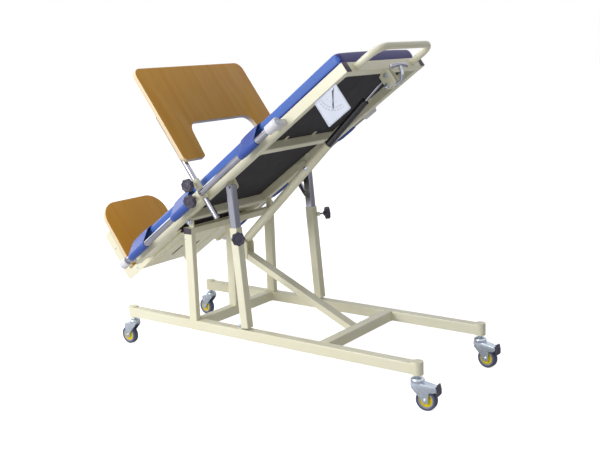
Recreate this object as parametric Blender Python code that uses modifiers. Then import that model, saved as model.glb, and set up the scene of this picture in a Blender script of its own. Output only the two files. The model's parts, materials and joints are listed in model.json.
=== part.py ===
"""Pediatric tilt table: a padded bed on a wheeled base, raised by a gas strut."""
import math

import bmesh
import bpy
from mathutils import Matrix, Vector

for old in list(bpy.data.objects):
    bpy.data.objects.remove(old)

# Clearances and tube stock
FIT = 0.0003
RUNNING = 0.0004
TUBE = 0.040
TUBE_CORNER = 0.003
PLATE = 0.005

# Base frame, measured from the foot face of the pivot posts and the rails' undersides
BASE_WIDTH = 0.5314
FOOT_BOSS_X = -0.340
HEAD_BOSS_X = 1.028
BOSS_RADIUS = 0.0205
BOSS_DROP = 0.002
BOSS_RISE = 0.0045
HEAD_CROSS_X = 0.611
PIVOT_POST_THICK = 0.025
PIVOT_POST_TOP = 0.3915
CROSSBAR_TALL = 0.0255
BRACE_WIDE = 0.040
BRACE_HIGH_Z = 0.3064
BRACE_LOW_Z = 0.0418
BRACE_DEEP = 0.0265

# Casters, in a frame with its origin on the stem axis at the rail's underside
WHEEL_RADIUS = 0.0375
TYRE_WIDE = 0.025
HUB_RADIUS = 0.0258
HUB_WIDE = 0.0206
AXLE_DROP = 0.0877
AXLE_RADIUS = 0.004
TRAIL = 0.033
STEM_RADIUS = 0.006
STEM_DEPTH = 0.034
RACEWAY_RADIUS = 0.024
RACEWAY_TOP = 0.012
RACEWAY_BOTTOM = 0.030
FORK_HALF = 0.0165
FORK_PLATE = 0.003
PEDAL_PIVOT_X = 0.030
PEDAL_PIVOT_DROP = 0.0385
PEDAL_PIN_RADIUS = 0.0025
PEDAL_HALF = 0.0122
PEDAL_REACH = 0.0825
TRAIL_ANGLES = {"near_head": 5.5, "far_head": -7.0, "near_foot": 180.0, "far_foot": 175.0}

# Bed hinge and the bed's own frame: s runs to the head, t stands on the bed's underside
TILT = math.radians(36.0)
HINGE_X = 0.026
HINGE_Z = 0.4393
HINGE_S = 0.021
HINGE_T = -0.015
HINGE_EYE = 0.012
HINGE_PIN = 0.005
HINGE_EAR_INSET = 0.0217
HINGE_EAR = 0.006

BED_OVERHANG = 0.0013
BED_FOOT = -0.345
BED_HEAD = 0.9748
BED_RAIL_WIDE = 0.030
BED_RAIL_TALL = 0.040
MEMBER_WIDE = 0.030
MID_MEMBER_S = 0.470
FOOT_MEMBER_S = -0.014
BOARD_THICK = 0.006
BOARD_SHORT = 0.015

# Mattress and straps
MATTRESS_SHORT = 0.010
MATTRESS_BEYOND = 0.0032
MATTRESS_INSET = 0.006
MATTRESS_THICK = 0.049
MATTRESS_CROWN = 0.009
STRAP_THICK = 0.003
STRAP_SPANS = {"foot": (-0.304, -0.189), "middle": (0.008, 0.117), "head": (0.448, 0.547)}

# Side bars with their holders
BAR_RADIUS = 0.0125
BAR_OUT = 0.048
BAR_T = 0.0206
BAR_FOOT = -0.352
BAR_HEAD = 0.664
HOLDER_RADIUS = 0.019
HOLDER_ARM = 0.020
HOLDER_SPANS = {"foot": (-0.369, -0.329), "head": (0.612, 0.670)}

# Head end: release bracket, lever and push handle
BRACKET_BEFORE = 0.0418
BRACKET_BEYOND = 0.0052
BRACKET_DROP = 0.062
BRACKET_HALF = 0.0145
BRACKET_PLATE = 0.004
STRUT_HEAD_BEFORE = 0.0158
STRUT_HEAD_T = -0.016
LEVER_BEFORE = 0.0338
LEVER_T = -0.049
LEVER_PIN = 0.004
LEVER_STEM = 0.006
LEVER_GRIP = 0.008
LEVER_BAR = 0.100
HANDLE_RADIUS = 0.0125
HANDLE_Y = 0.190
HANDLE_REACH = 0.109
HANDLE_BEND = 0.060

# Gas strut, from its foot pivot on the brace to its head pivot in the release bracket
STRUT_FOOT_X = 0.086
STRUT_FOOT_Z = 0.316
STRUT_PIN = 0.004
STRUT_TUBE_RADIUS = 0.0175
STRUT_TUBE_WALL = 0.0026
STRUT_TUBE_START = 0.028
STRUT_TUBE_END = 0.605
STRUT_EYE = 0.011
STRUT_CHEEK = 0.0185
GAS_RADIUS = 0.0145
GAS_BORE = 0.0112
GAS_START = 0.455
GAS_END = 0.838
GAS_PIN = 0.004
ROD_RADIUS = 0.005
PISTON_LONG = 0.020
PISTON_AT = 0.640

# Telescoping posts, in a frame with its origin on the foot hinge and +Z up the post
POST_FOOT_X = 0.256
POST_FOOT_Z = 0.051
POST_LEAN = math.radians(4.70)
POST_OFFSET = 0.0286
POST_OUTER = 0.035
POST_BORE = 0.0306
POST_INNER = 0.030
POST_INNER_BORE = 0.024
POST_INSET = 0.0197
POST_OUTER_FOOT = -0.0072
POST_OUTER_TOP = 0.384
POST_INNER_FOOT = 0.176
POST_INNER_TOP = 0.548
POST_BOLT_DROP = 0.0085
POST_BOLT_HEAD = 0.0065
POST_LUG = 0.012
POST_EYE = 0.008
POST_PIN = 0.003
POST_HEAD_S = 0.283
POST_HEAD_T = -0.019
POST_KNOB_DROP = 0.035

# Lock knobs
KNOB_RADIUS = 0.0262
KNOB_LOBE = 0.0014
KNOB_LOBES = 8
KNOB_THICK = 0.020
KNOB_CONE = 0.007
STUD_RADIUS = 0.004
KNOB_BOSS = 0.009

# Tray, its rods and the cross clamps
TRAY_FACE = 0.218
TRAY_THICK = 0.018
TRAY_HALF = 0.323
TRAY_BOTTOM = 0.157
TRAY_TOP = 0.583
TRAY_ARM = 0.190
TRAY_ARM_END = 0.203
TRAY_NOTCH = 0.317
TRAY_CORNER = 0.037
TRAY_ROD_RADIUS = 0.011
TRAY_ROD_S = 0.1835
TRAY_ROD_CLEAR = 0.0015
TRAY_ROD_BOTTOM = -0.088
TRAY_ROD_TOP = 0.380
CLAMP_WALL = 0.0042
CLAMP_BOTTOM = 0.000
CLAMP_TOP = 0.084
CLAMP_FOOT = 0.125
ROD_KNOB_T = 0.068
BAR_KNOB_S = 0.160
BAR_KNOB_DIP = math.radians(14.0)

# Footboard and its slide
PANEL_FACE = -0.465
PANEL_THICK = 0.018
PANEL_HALF = 0.183
PANEL_BOTTOM = 0.0403
PANEL_TOP = 0.352
PANEL_CORNER = 0.088
SLIDE_SIDE = 0.005
SLIDE_BACK = -0.521
SLIDE_HEAD = -0.120
SLIDE_PAN_FOOT = -0.424
UPRIGHT_TOP = 0.230
GUIDE_FOOT = -0.325
GUIDE_HEAD = -0.100
GUIDE_CLEAR = 0.007
GUIDE_BOTTOM = 0.006
GUIDE_TOP = 0.032
GUIDE_WALL = 0.004

# Angle gauge
GAUGE_FOOT = 0.801
GAUGE_HEAD = 0.912
GAUGE_DROP = 0.101
GAUGE_INSET = 0.005
GAUGE_THICK = 0.003
NEEDLE_S = 0.892
NEEDLE_T = -0.0085
NEEDLE_LONG = 0.070
NEEDLE_PIN = 0.002

# Places worked out from the sizes above
RAIL_BOTTOM = WHEEL_RADIUS + AXLE_DROP
RAIL_OUTER = BASE_WIDTH / 2
RAIL_INNER = RAIL_OUTER - TUBE
BOSS_Y = RAIL_OUTER - TUBE / 2
CROSSBAR_TOP = PIVOT_POST_TOP + CROSSBAR_TALL
HINGE_EAR_Y = RAIL_OUTER - HINGE_EAR_INSET
POST_Y = RAIL_OUTER - POST_INSET
BED_OUTER = RAIL_OUTER + BED_OVERHANG
BED_INNER = BED_OUTER - BED_RAIL_WIDE
BRACKET_FOOT = BED_HEAD - BRACKET_BEFORE
BRACKET_HEAD = BED_HEAD + BRACKET_BEYOND
STRUT_HEAD_S = BED_HEAD - STRUT_HEAD_BEFORE
LEVER_S = BED_HEAD - LEVER_BEFORE
BOARD_FOOT = BED_FOOT + BOARD_SHORT
MATTRESS_FOOT = BED_FOOT + MATTRESS_SHORT
MATTRESS_HEAD = BED_HEAD + MATTRESS_BEYOND
MATTRESS_HALF = BED_OUTER - MATTRESS_INSET
BAR_Y = BED_OUTER + BAR_OUT
TRAY_ROD_Y = BAR_Y - BAR_RADIUS - TRAY_ROD_RADIUS - TRAY_ROD_CLEAR
GAUGE_Y = BED_OUTER - GAUGE_INSET
GUIDE_INNER = PANEL_HALF + GUIDE_CLEAR
MATTRESS_BOTTOM = BED_RAIL_TALL + FIT
MATTRESS_TOP = MATTRESS_BOTTOM + MATTRESS_THICK
MEMBER_TALL = BED_RAIL_TALL - BOARD_THICK - FIT
PANEL_BACK = PANEL_FACE - PANEL_THICK
TRAY_BACK = TRAY_FACE - TRAY_THICK
SIDES = {"near": -1.0, "far": 1.0}

PAINT = ("cream_paint", (0.83, 0.81, 0.66), 0.35, 0.0)
CHROME = ("chrome", (0.80, 0.80, 0.82), 0.12, 1.0)
ZINC = ("zinc_steel", (0.52, 0.56, 0.60), 0.35, 1.0)
BLACK = ("black_plastic", (0.045, 0.04, 0.06), 0.45, 0.0)
WOOD = ("oiled_wood", (0.48, 0.23, 0.055), 0.45, 0.0)
BOARD = ("dark_board", (0.02, 0.02, 0.025), 0.60, 0.0)
VINYL = ("blue_vinyl", (0.10, 0.22, 0.58), 0.50, 0.0)
WEBBING = ("strap_webbing", (0.09, 0.20, 0.56), 0.80, 0.0)
WHITE = ("white_plastic", (0.80, 0.80, 0.80), 0.40, 0.0)
RUBBER = ("grey_rubber", (0.12, 0.13, 0.16), 0.70, 0.0)
YELLOW = ("yellow_hub", (0.80, 0.70, 0.03), 0.40, 0.0)
GAS_BLACK = ("strut_black", (0.03, 0.03, 0.035), 0.30, 0.2)
DIAL = ("gauge_plate", (0.75, 0.73, 0.62), 0.40, 0.0)

scene = bpy.context.scene
table_parts = bpy.data.collections.new("pediatric_tilt_table")
cutters = bpy.data.collections.new("cutters")
scene.collection.children.link(table_parts)
scene.collection.children.link(cutters)


def finish_of(finish):
    """The Principled material of a finish, made once."""
    name, colour, roughness, metallic = finish
    material = bpy.data.materials.get(name)
    if material is None:
        material = bpy.data.materials.new(name)
        material.use_nodes = True
        shader = material.node_tree.nodes["Principled BSDF"]
        shader.inputs["Base Color"].default_value = (*colour, 1.0)
        shader.inputs["Roughness"].default_value = roughness
        shader.inputs["Metallic"].default_value = metallic
        material.diffuse_color = (*colour, 1.0)
    return material


def closed_mesh(bm):
    """A mesh with its faces pointing out, from a bmesh."""
    bmesh.ops.recalc_face_normals(bm, faces=bm.faces)
    mesh = bpy.data.meshes.new("shape")
    bm.to_mesh(mesh)
    bm.free()
    return mesh


def block(low, high, edge=0.0, along=None):
    """A box between two corners, with the edges along one axis rounded."""
    bm = bmesh.new()
    bmesh.ops.create_cube(bm, size=1.0)
    low, high = Vector(low), Vector(high)
    bmesh.ops.scale(bm, vec=high - low, verts=bm.verts)
    bmesh.ops.translate(bm, vec=(high + low) / 2, verts=bm.verts)
    if edge:
        edges = list(bm.edges)
        if along is not None:
            axis = "xyz".index(along)
            edges = [e for e in bm.edges if abs((e.verts[0].co - e.verts[1].co).normalized()[axis]) > 0.9]
        bmesh.ops.bevel(bm, geom=edges, offset=edge, segments=2, profile=0.5, affect="EDGES")
    return closed_mesh(bm)


def cylinder(start, end, radius, sides=24, end_radius=None):
    """A cylinder or cone from one point to another."""
    start, end = Vector(start), Vector(end)
    bm = bmesh.new()
    bmesh.ops.create_cone(bm, cap_ends=True, segments=sides, radius1=radius,
                          radius2=radius if end_radius is None else end_radius, depth=(end - start).length)
    turn = (end - start).to_track_quat("Z", "Y").to_matrix().to_4x4()
    bmesh.ops.transform(bm, matrix=Matrix.Translation((start + end) / 2) @ turn, verts=bm.verts)
    return closed_mesh(bm)


def evaluated_mesh(temporary):
    """The welded mesh of an object as its modifiers or curve leave it; the object is removed."""
    scene.collection.objects.link(temporary)
    bpy.context.view_layer.update()
    graph = bpy.context.evaluated_depsgraph_get()
    mesh = bpy.data.meshes.new_from_object(temporary.evaluated_get(graph))
    bpy.data.objects.remove(temporary)
    bm = bmesh.new()
    bm.from_mesh(mesh)
    bmesh.ops.remove_doubles(bm, verts=bm.verts, dist=0.00001)
    return closed_mesh(bm)


def flat(points, thickness):
    """A flat outline in X and Y, filled and extruded to a thickness about Z = 0."""
    curve = bpy.data.curves.new("outline", "CURVE")
    curve.dimensions = "2D"
    curve.fill_mode = "BOTH"
    curve.extrude = thickness / 2
    spline = curve.splines.new("POLY")
    spline.points.add(len(points) - 1)
    for point, (u, v) in zip(spline.points, points):
        point.co = (u, v, 0.0, 1.0)
    spline.use_cyclic_u = True
    return evaluated_mesh(bpy.data.objects.new("outline", curve))


def tube(points, radius, resolution=3):
    """A round bar along a list of points, with capped ends."""
    curve = bpy.data.curves.new("path", "CURVE")
    curve.dimensions = "3D"
    curve.bevel_depth = radius
    curve.bevel_resolution = resolution
    curve.use_fill_caps = True
    spline = curve.splines.new("POLY")
    spline.points.add(len(points) - 1)
    for point, place in zip(spline.points, points):
        point.co = (*place, 1.0)
    return evaluated_mesh(bpy.data.objects.new("path", curve))


def turned(profile, steps=24):
    """A ring turned about Z from a closed profile of radius and height."""
    mesh = bpy.data.meshes.new("profile")
    edges = [(i, (i + 1) % len(profile)) for i in range(len(profile))]
    mesh.from_pydata([(radius, 0.0, height) for radius, height in profile], edges, [])
    holder = bpy.data.objects.new("profile", mesh)
    screw = holder.modifiers.new("turn", "SCREW")
    screw.steps = steps
    screw.render_steps = steps
    screw.use_merge_vertices = True
    screw.merge_threshold = 0.00001
    return evaluated_mesh(holder)


def rounded(corners, radii, steps=4):
    """An outline whose corners are replaced by arcs of the given radii."""
    points = []
    count = len(corners)
    for i, (corner, radius) in enumerate(zip(corners, radii)):
        here = Vector(corner)
        back = (Vector(corners[i - 1]) - here).normalized()
        ahead = (Vector(corners[(i + 1) % count]) - here).normalized()
        if radius == 0.0:
            points.append(tuple(here))
            continue
        half = back.angle(ahead) / 2
        centre = here + (back + ahead).normalized() * radius / math.sin(half)
        first = here + back * radius / math.tan(half) - centre
        last = here + ahead * radius / math.tan(half) - centre
        turn = math.atan2(first.x * last.y - first.y * last.x, first.dot(last))
        for k in range(steps + 1):
            step = Matrix.Rotation(turn * k / steps, 2) @ first
            points.append(tuple(centre + step))
    return points


def eye_outline(centre, radius, base, steps=10):
    """An outline with a half circle about a centre and straight sides to a flat base."""
    u, v = centre
    away = 1.0 if v > base else -1.0
    arc = [math.pi * k / steps for k in range(steps + 1)]
    round_end = [(u + radius * math.cos(a), v + away * radius * math.sin(a)) for a in arc]
    return round_end + [(u - radius, base), (u + radius, base)]


def placed(mesh, matrix):
    """A shape's mesh, moved by a matrix."""
    mesh.transform(matrix)
    return mesh


def standing(points, y, thickness):
    """An outline of X and Z, as a plate centred on a plane of constant Y."""
    turn = Matrix.Rotation(math.radians(90.0), 4, "X")
    return placed(flat(points, thickness), Matrix.Translation((0.0, y, 0.0)) @ turn)


def facing(points, x, thickness):
    """An outline of Y and Z, as a plate centred on a plane of constant X."""
    turn = Matrix(((0, 0, 1, 0), (1, 0, 0, 0), (0, 1, 0, 0), (0, 0, 0, 1)))
    return placed(flat(points, thickness), Matrix.Translation((x, 0.0, 0.0)) @ turn)


def part(name, finish, shapes, cuts=(), origin=(0.0, 0.0, 0.0), parent=None, smooth=True):
    """One piece: shapes joined and cuts taken away, with its origin at the given point."""
    origin = Vector(origin)
    for mesh in [*shapes, *cuts]:
        mesh.transform(Matrix.Translation(-origin))
    body = bpy.data.objects.new(name, shapes[0])
    table_parts.objects.link(body)
    body.location = origin
    body.parent = parent
    body.data.materials.append(finish_of(finish))
    steps = [("UNION", mesh) for mesh in shapes[1:]] + [("DIFFERENCE", mesh) for mesh in cuts]
    for number, (operation, mesh) in enumerate(steps):
        cutter = bpy.data.objects.new(f"{name}_{operation.lower()}_{number}", mesh)
        cutters.objects.link(cutter)
        cutter.location = origin
        cutter.parent = parent
        cutter.hide_render = True
        cutter.display_type = "WIRE"
        boolean = body.modifiers.new(operation.lower(), "BOOLEAN")
        boolean.operation = operation
        boolean.object = cutter
        boolean.solver = "EXACT"
    if smooth:
        body.data.shade_smooth()
        body.data.set_sharp_from_angle(angle=math.radians(35.0))
    return body


def joint(name, place, turn=0.0, about="Y", parent=None):
    """An empty on a joint's axis, which carries the pieces that move with it."""
    empty = bpy.data.objects.new(name, None)
    empty.empty_display_size = 0.05
    empty.location = place
    empty.rotation_euler["XYZ".index(about)] = turn
    empty.parent = parent
    table_parts.objects.link(empty)
    return empty


def from_bed(s, t):
    """A place in the bed's frame, as X and Z in the base's frame at the rest tilt."""
    along, up = s - HINGE_S, t - HINGE_T
    x = HINGE_X + along * math.cos(TILT) - up * math.sin(TILT)
    z = HINGE_Z + along * math.sin(TILT) + up * math.cos(TILT)
    return x, z


def on_bed(s, y, t):
    """A place in the bed's frame, measured from the hinge that carries the bed."""
    return (s - HINGE_S, y, t - HINGE_T)


def bed_block(low, high, edge=0.0, along=None):
    return block(on_bed(*low), on_bed(*high), edge, along)


def side_span(side, inner, outer):
    """The two Y values of a piece on one side, lowest first."""
    return sorted((side * inner, side * outer))


def overall_middle():
    """The middle of the length from the footboard's top corner to the head brake pedals."""
    foot = from_bed(PANEL_BACK, PANEL_TOP)[0]
    pedal = [HEAD_BOSS_X + PEDAL_REACH * math.cos(angle) + PEDAL_HALF * abs(math.sin(angle))
             for angle in (math.radians(TRAIL_ANGLES["near_head"]), math.radians(TRAIL_ANGLES["far_head"]))]
    return (foot + max(pedal)) / 2


table = joint("table_frame", (-overall_middle(), 0.0, RAIL_BOTTOM))
bed = joint("bed_hinge", (HINGE_X, 0.0, HINGE_Z), -TILT, parent=table)


def base_rails():
    """Two square rails, each with a round boss at both ends for a caster stem."""
    ear = RUNNING + POST_LUG / 2
    for label, side in SIDES.items():
        low_y, high_y = side_span(side, RAIL_INNER, RAIL_OUTER)
        shapes = [block((FOOT_BOSS_X, low_y, 0.0), (HEAD_BOSS_X, high_y, TUBE), TUBE_CORNER, "x")]
        cuts = []
        for x in (FOOT_BOSS_X, HEAD_BOSS_X):
            foot = (x, side * BOSS_Y, -BOSS_DROP)
            shapes.append(cylinder(foot, (x, side * BOSS_Y, TUBE + BOSS_RISE), BOSS_RADIUS, 20))
            top = STEM_DEPTH + 0.002
            cuts.append(cylinder((x, side * BOSS_Y, -TUBE), (x, side * BOSS_Y, top), STEM_RADIUS + RUNNING, 12))
        for start, end in ((-ear - FORK_PLATE, -ear), (ear, ear + FORK_PLATE)):
            ear_shape = eye_outline((POST_FOOT_X, POST_FOOT_Z), POST_EYE, TUBE - TUBE_CORNER / 2)
            shapes.append(standing(ear_shape, side * POST_Y + (start + end) / 2, FORK_PLATE))
        reach = ear + FORK_PLATE + 0.0015
        shapes.append(cylinder((POST_FOOT_X, side * POST_Y - reach, POST_FOOT_Z),
                               (POST_FOOT_X, side * POST_Y + reach, POST_FOOT_Z), POST_PIN, 12))
        part(f"base_rail_{label}", PAINT, shapes, cuts, parent=table)


def base_crosses():
    """The foot cross tube with the centre post, and the head cross tube with the brace."""
    half = RAIL_INNER - FIT
    foot = [block((0.0, -half, 0.0), (TUBE, half, TUBE), TUBE_CORNER, "y"),
            block((0.0, -TUBE / 2, TUBE / 2), (TUBE, TUBE / 2, PIVOT_POST_TOP - FIT), TUBE_CORNER, "z")]
    part("foot_cross_and_centre_post", PAINT, foot, parent=table)

    slope = (BRACE_LOW_Z - BRACE_HIGH_Z) / (HEAD_CROSS_X - TUBE)
    end_x, end_z = HEAD_CROSS_X + TUBE_CORNER, BRACE_LOW_Z + slope * TUBE_CORNER
    outline = [(TUBE + FIT, BRACE_HIGH_Z), (end_x, end_z), (end_x, end_z - BRACE_DEEP),
               (TUBE + FIT, BRACE_HIGH_Z - BRACE_DEEP)]
    shapes = [block((HEAD_CROSS_X, -half, 0.0), (HEAD_CROSS_X + TUBE, half, TUBE), TUBE_CORNER, "y"),
              standing(outline, 0.0, BRACE_WIDE)]
    for side in SIDES.values():
        shapes.extend(strut_cheek(side, slope))
    part("head_cross_and_brace", PAINT, shapes, parent=table)


def strut_cheek(side, slope):
    """One cheek of the strut's foot bracket, a plate that stands on the brace."""
    def brace_top(x):
        return BRACE_HIGH_Z + slope * (x - TUBE)

    low_x, high_x, top_z = STRUT_FOOT_X - 0.014, STRUT_FOOT_X + 0.030, STRUT_FOOT_Z + 0.016
    plate = standing(rounded([(low_x, brace_top(low_x) - 0.020), (high_x, brace_top(high_x) - 0.020),
                              (high_x, STRUT_FOOT_Z), (high_x - 0.014, top_z), (low_x, top_z)],
                             [0.0, 0.0, 0.006, 0.008, 0.008]),
                     side * (STRUT_CHEEK + PLATE / 2), PLATE)
    bolt = cylinder((STRUT_FOOT_X, side * (STRUT_CHEEK + 0.001), STRUT_FOOT_Z),
                    (STRUT_FOOT_X, side * (STRUT_CHEEK + PLATE + 0.005), STRUT_FOOT_Z), 0.007, 6)
    return [plate, bolt]


def pivot_frame():
    """Two short posts and a crossbar, with an ear and a pin at each end for the bed."""
    shapes = [block((0.0, -RAIL_OUTER, PIVOT_POST_TOP), (TUBE, RAIL_OUTER, CROSSBAR_TOP), TUBE_CORNER, "y")]
    for side in SIDES.values():
        low_y, high_y = side_span(side, RAIL_OUTER - PIVOT_POST_THICK, RAIL_OUTER)
        shapes.append(block((0.0, low_y, TUBE + FIT), (TUBE, high_y, PIVOT_POST_TOP + 0.004), TUBE_CORNER, "z"))
        ear = eye_outline((HINGE_X, HINGE_Z), HINGE_EYE, CROSSBAR_TOP - 0.004)
        shapes.append(standing(ear, side * (HINGE_EAR_Y + HINGE_EAR / 2), HINGE_EAR))
        pin_end = HINGE_EAR_Y + 2 * HINGE_EAR + 2 * RUNNING
        shapes.append(cylinder((HINGE_X, side * (HINGE_EAR_Y + HINGE_EAR / 2), HINGE_Z),
                               (HINGE_X, side * (pin_end + 0.001), HINGE_Z), HINGE_PIN, 16))
        shapes.append(cylinder((HINGE_X, side * pin_end, HINGE_Z),
                               (HINGE_X, side * (pin_end + 0.004), HINGE_Z), 0.009, 6))
    part("pivot_frame", PAINT, shapes, parent=table)


def caster(corner, x, y):
    """A swivel fork with its stem and axle, a hub and a tyre, and a pedal at the head end."""
    swivel = joint(f"swivel_{corner}", (x, y, 0.0), math.radians(TRAIL_ANGLES[corner]), "Z", table)
    axle = (TRAIL, 0.0, -AXLE_DROP)
    top, low = -RACEWAY_BOTTOM + 0.0015, -AXLE_DROP - 0.0105
    end = [(TRAIL + 0.0095, low), (TRAIL - 0.0095, low)]
    if corner.endswith("head"):
        leg = rounded([(-0.021, top), (0.023, top), (0.0725, -0.0375), (0.076, -0.050), (0.063, -0.0595),
                       (0.0455, -0.0605), *end, (0.0185, -AXLE_DROP + 0.0027), (-0.017, -0.049)],
                      [0.0, 0.0, 0.005, 0.006, 0.004, 0.005, 0.009, 0.009, 0.004, 0.006], 3)
    else:
        leg = rounded([(-0.021, top), (0.023, top), (0.048, -0.038), (0.0465, -0.062), *end,
                       (0.0195, -AXLE_DROP + 0.0117), (-0.012, -0.043)],
                      [0.0, 0.0, 0.005, 0.0, 0.009, 0.009, 0.004, 0.006], 3)
    race = turned([(0.001, -RACEWAY_BOTTOM), (RACEWAY_RADIUS, -RACEWAY_BOTTOM),
                   (RACEWAY_RADIUS, -RACEWAY_TOP - 0.006), (RACEWAY_RADIUS - 0.005, -RACEWAY_TOP),
                   (0.001, -RACEWAY_TOP)], 20)
    shapes = [cylinder((0.0, 0.0, -RACEWAY_BOTTOM + 0.002), (0.0, 0.0, STEM_DEPTH), STEM_RADIUS, 12), race]
    for side in SIDES.values():
        shapes.append(standing(leg, side * (FORK_HALF - FORK_PLATE / 2), FORK_PLATE))
        shapes.append(cylinder((TRAIL, side * (FORK_HALF - 0.001), -AXLE_DROP),
                               (TRAIL, side * (FORK_HALF + 0.004), -AXLE_DROP), 0.0065, 6))
    shapes.append(cylinder((TRAIL, -FORK_HALF - 0.001, -AXLE_DROP), (TRAIL, FORK_HALF + 0.001, -AXLE_DROP),
                           AXLE_RADIUS, 12))
    if corner.endswith("head"):
        shapes.append(cylinder((PEDAL_PIVOT_X, -FORK_HALF + 0.001, -PEDAL_PIVOT_DROP),
                               (PEDAL_PIVOT_X, FORK_HALF - 0.001, -PEDAL_PIVOT_DROP), PEDAL_PIN_RADIUS, 10))
        brake_pedal(corner, swivel)
    part(f"caster_fork_{corner}", ZINC, shapes, parent=swivel)

    wheel = joint(f"axle_{corner}", axle, parent=swivel)
    lay = Matrix.Rotation(math.radians(90.0), 4, "X")
    rim, boss, web = HUB_WIDE / 2, TYRE_WIDE / 2, 0.004
    bore = AXLE_RADIUS + RUNNING
    hub = turned([(bore, -boss), (0.009, -boss), (0.012, -web), (0.020, -web), (0.022, -rim), (HUB_RADIUS, -rim),
                  (HUB_RADIUS, rim), (0.022, rim), (0.020, web), (0.012, web), (0.009, boss), (bore, boss)], 18)
    part(f"wheel_hub_{corner}", YELLOW, [placed(hub, lay)], parent=wheel)
    inner, half, soft = HUB_RADIUS + FIT, TYRE_WIDE / 2, 0.004
    tyre = turned([(inner, -rim), (WHEEL_RADIUS - soft, -half), (WHEEL_RADIUS, -half + soft),
                   (WHEEL_RADIUS, half - soft), (WHEEL_RADIUS - soft, half), (inner, rim)], 28)
    part(f"tyre_{corner}", RUBBER, [placed(tyre, lay)], parent=wheel)


def brake_pedal(corner, swivel):
    """A pedal whose arm lies over the wheel between the fork's plates, with a pad above the tyre and a raised tab."""
    tip, wall = PEDAL_REACH, 0.005
    start, high, low = PEDAL_PIVOT_X - 0.0055, -PEDAL_PIVOT_DROP + wall, -PEDAL_PIVOT_DROP - wall
    outline = [(start, high), (PEDAL_PIVOT_X + 0.008, high), (tip - 0.0125, -0.0425), (tip - 0.0085, -0.026),
               (tip - 0.0047, -0.0255), (tip, -0.044), (tip, -0.062), (tip - 0.005, -0.068), (tip - 0.008, -0.066),
               (tip - 0.012, -0.052), (tip - 0.0195, -0.049), (tip - 0.0255, -0.052), (tip - 0.0325, -0.049),
               (start, low)]
    radii = [0.004, 0.004, 0.002, 0.001, 0.001, 0.003, 0.003, 0.0015, 0.0015, 0.003, 0.0, 0.0015, 0.002, 0.004]
    body = standing(rounded(outline, radii, 2), 0.0, 2 * PEDAL_HALF)
    bore = cylinder((PEDAL_PIVOT_X, -0.030, -PEDAL_PIVOT_DROP), (PEDAL_PIVOT_X, 0.030, -PEDAL_PIVOT_DROP),
                    PEDAL_PIN_RADIUS + RUNNING, 10)
    part(f"brake_pedal_{corner}", BLACK, [body], [bore],
         (PEDAL_PIVOT_X, 0.0, -PEDAL_PIVOT_DROP), swivel)


def casters():
    for corner in TRAIL_ANGLES:
        label, end = corner.split("_")
        x = HEAD_BOSS_X if end == "head" else FOOT_BOSS_X
        caster(corner, x, SIDES[label] * BOSS_Y)


def bed_rails():
    """The bed's side rails, each with a hinge lug, an ear beside the post's top and a slide guide."""
    for label, side in SIDES.items():
        low_y, high_y = side_span(side, BED_INNER, BED_OUTER)
        shapes = [bed_block((BED_FOOT, low_y, 0.0), (BED_HEAD, high_y, BED_RAIL_TALL), TUBE_CORNER, "x")]
        low_y, high_y = side_span(side, HINGE_EAR_Y + HINGE_EAR + RUNNING, HINGE_EAR_Y + 2 * HINGE_EAR + RUNNING)
        lug = eye_outline((0.0, 0.0), HINGE_EYE, 0.001 - HINGE_T)
        shapes.append(standing(lug, (low_y + high_y) / 2, HINGE_EAR))
        shapes.extend(post_ear(side))
        for bottom, top in ((GUIDE_BOTTOM, GUIDE_BOTTOM + GUIDE_WALL), (GUIDE_TOP - GUIDE_WALL, GUIDE_TOP)):
            low, high = side_span(side, GUIDE_INNER, BED_INNER + 0.001)
            shapes.append(bed_block((GUIDE_FOOT, low, bottom), (GUIDE_HEAD, high, top)))
        bore = cylinder(on_bed(HINGE_S, side * HINGE_EAR_Y, HINGE_T),
                        on_bed(HINGE_S, side * (HINGE_EAR_Y + 3 * HINGE_EAR), HINGE_T), HINGE_PIN + RUNNING, 16)
        part(f"bed_rail_{label}", PAINT, shapes, [bore], parent=bed)


def post_ear(side):
    """A plate that hangs from the rail's inner side, beside the telescoping post's top, and its seat on the rail."""
    inside = POST_Y - POST_OUTER / 2 - RUNNING
    low_y, high_y = side_span(side, inside - PLATE, inside)
    top = 0.018
    outline = rounded([(POST_HEAD_S - 0.017, POST_HEAD_T - 0.013), (POST_HEAD_S + 0.017, POST_HEAD_T - 0.013),
                       (POST_HEAD_S + 0.022, top), (POST_HEAD_S - 0.022, top)], [0.011, 0.011, 0.0, 0.0])
    plate = standing([on_bed(s, 0.0, t)[::2] for s, t in outline], (low_y + high_y) / 2, high_y - low_y)
    low_y, high_y = side_span(side, inside - 0.001, BED_INNER + 0.001)
    return [plate, bed_block((POST_HEAD_S - 0.020, low_y, 0.004), (POST_HEAD_S + 0.020, high_y, 0.016))]


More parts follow.
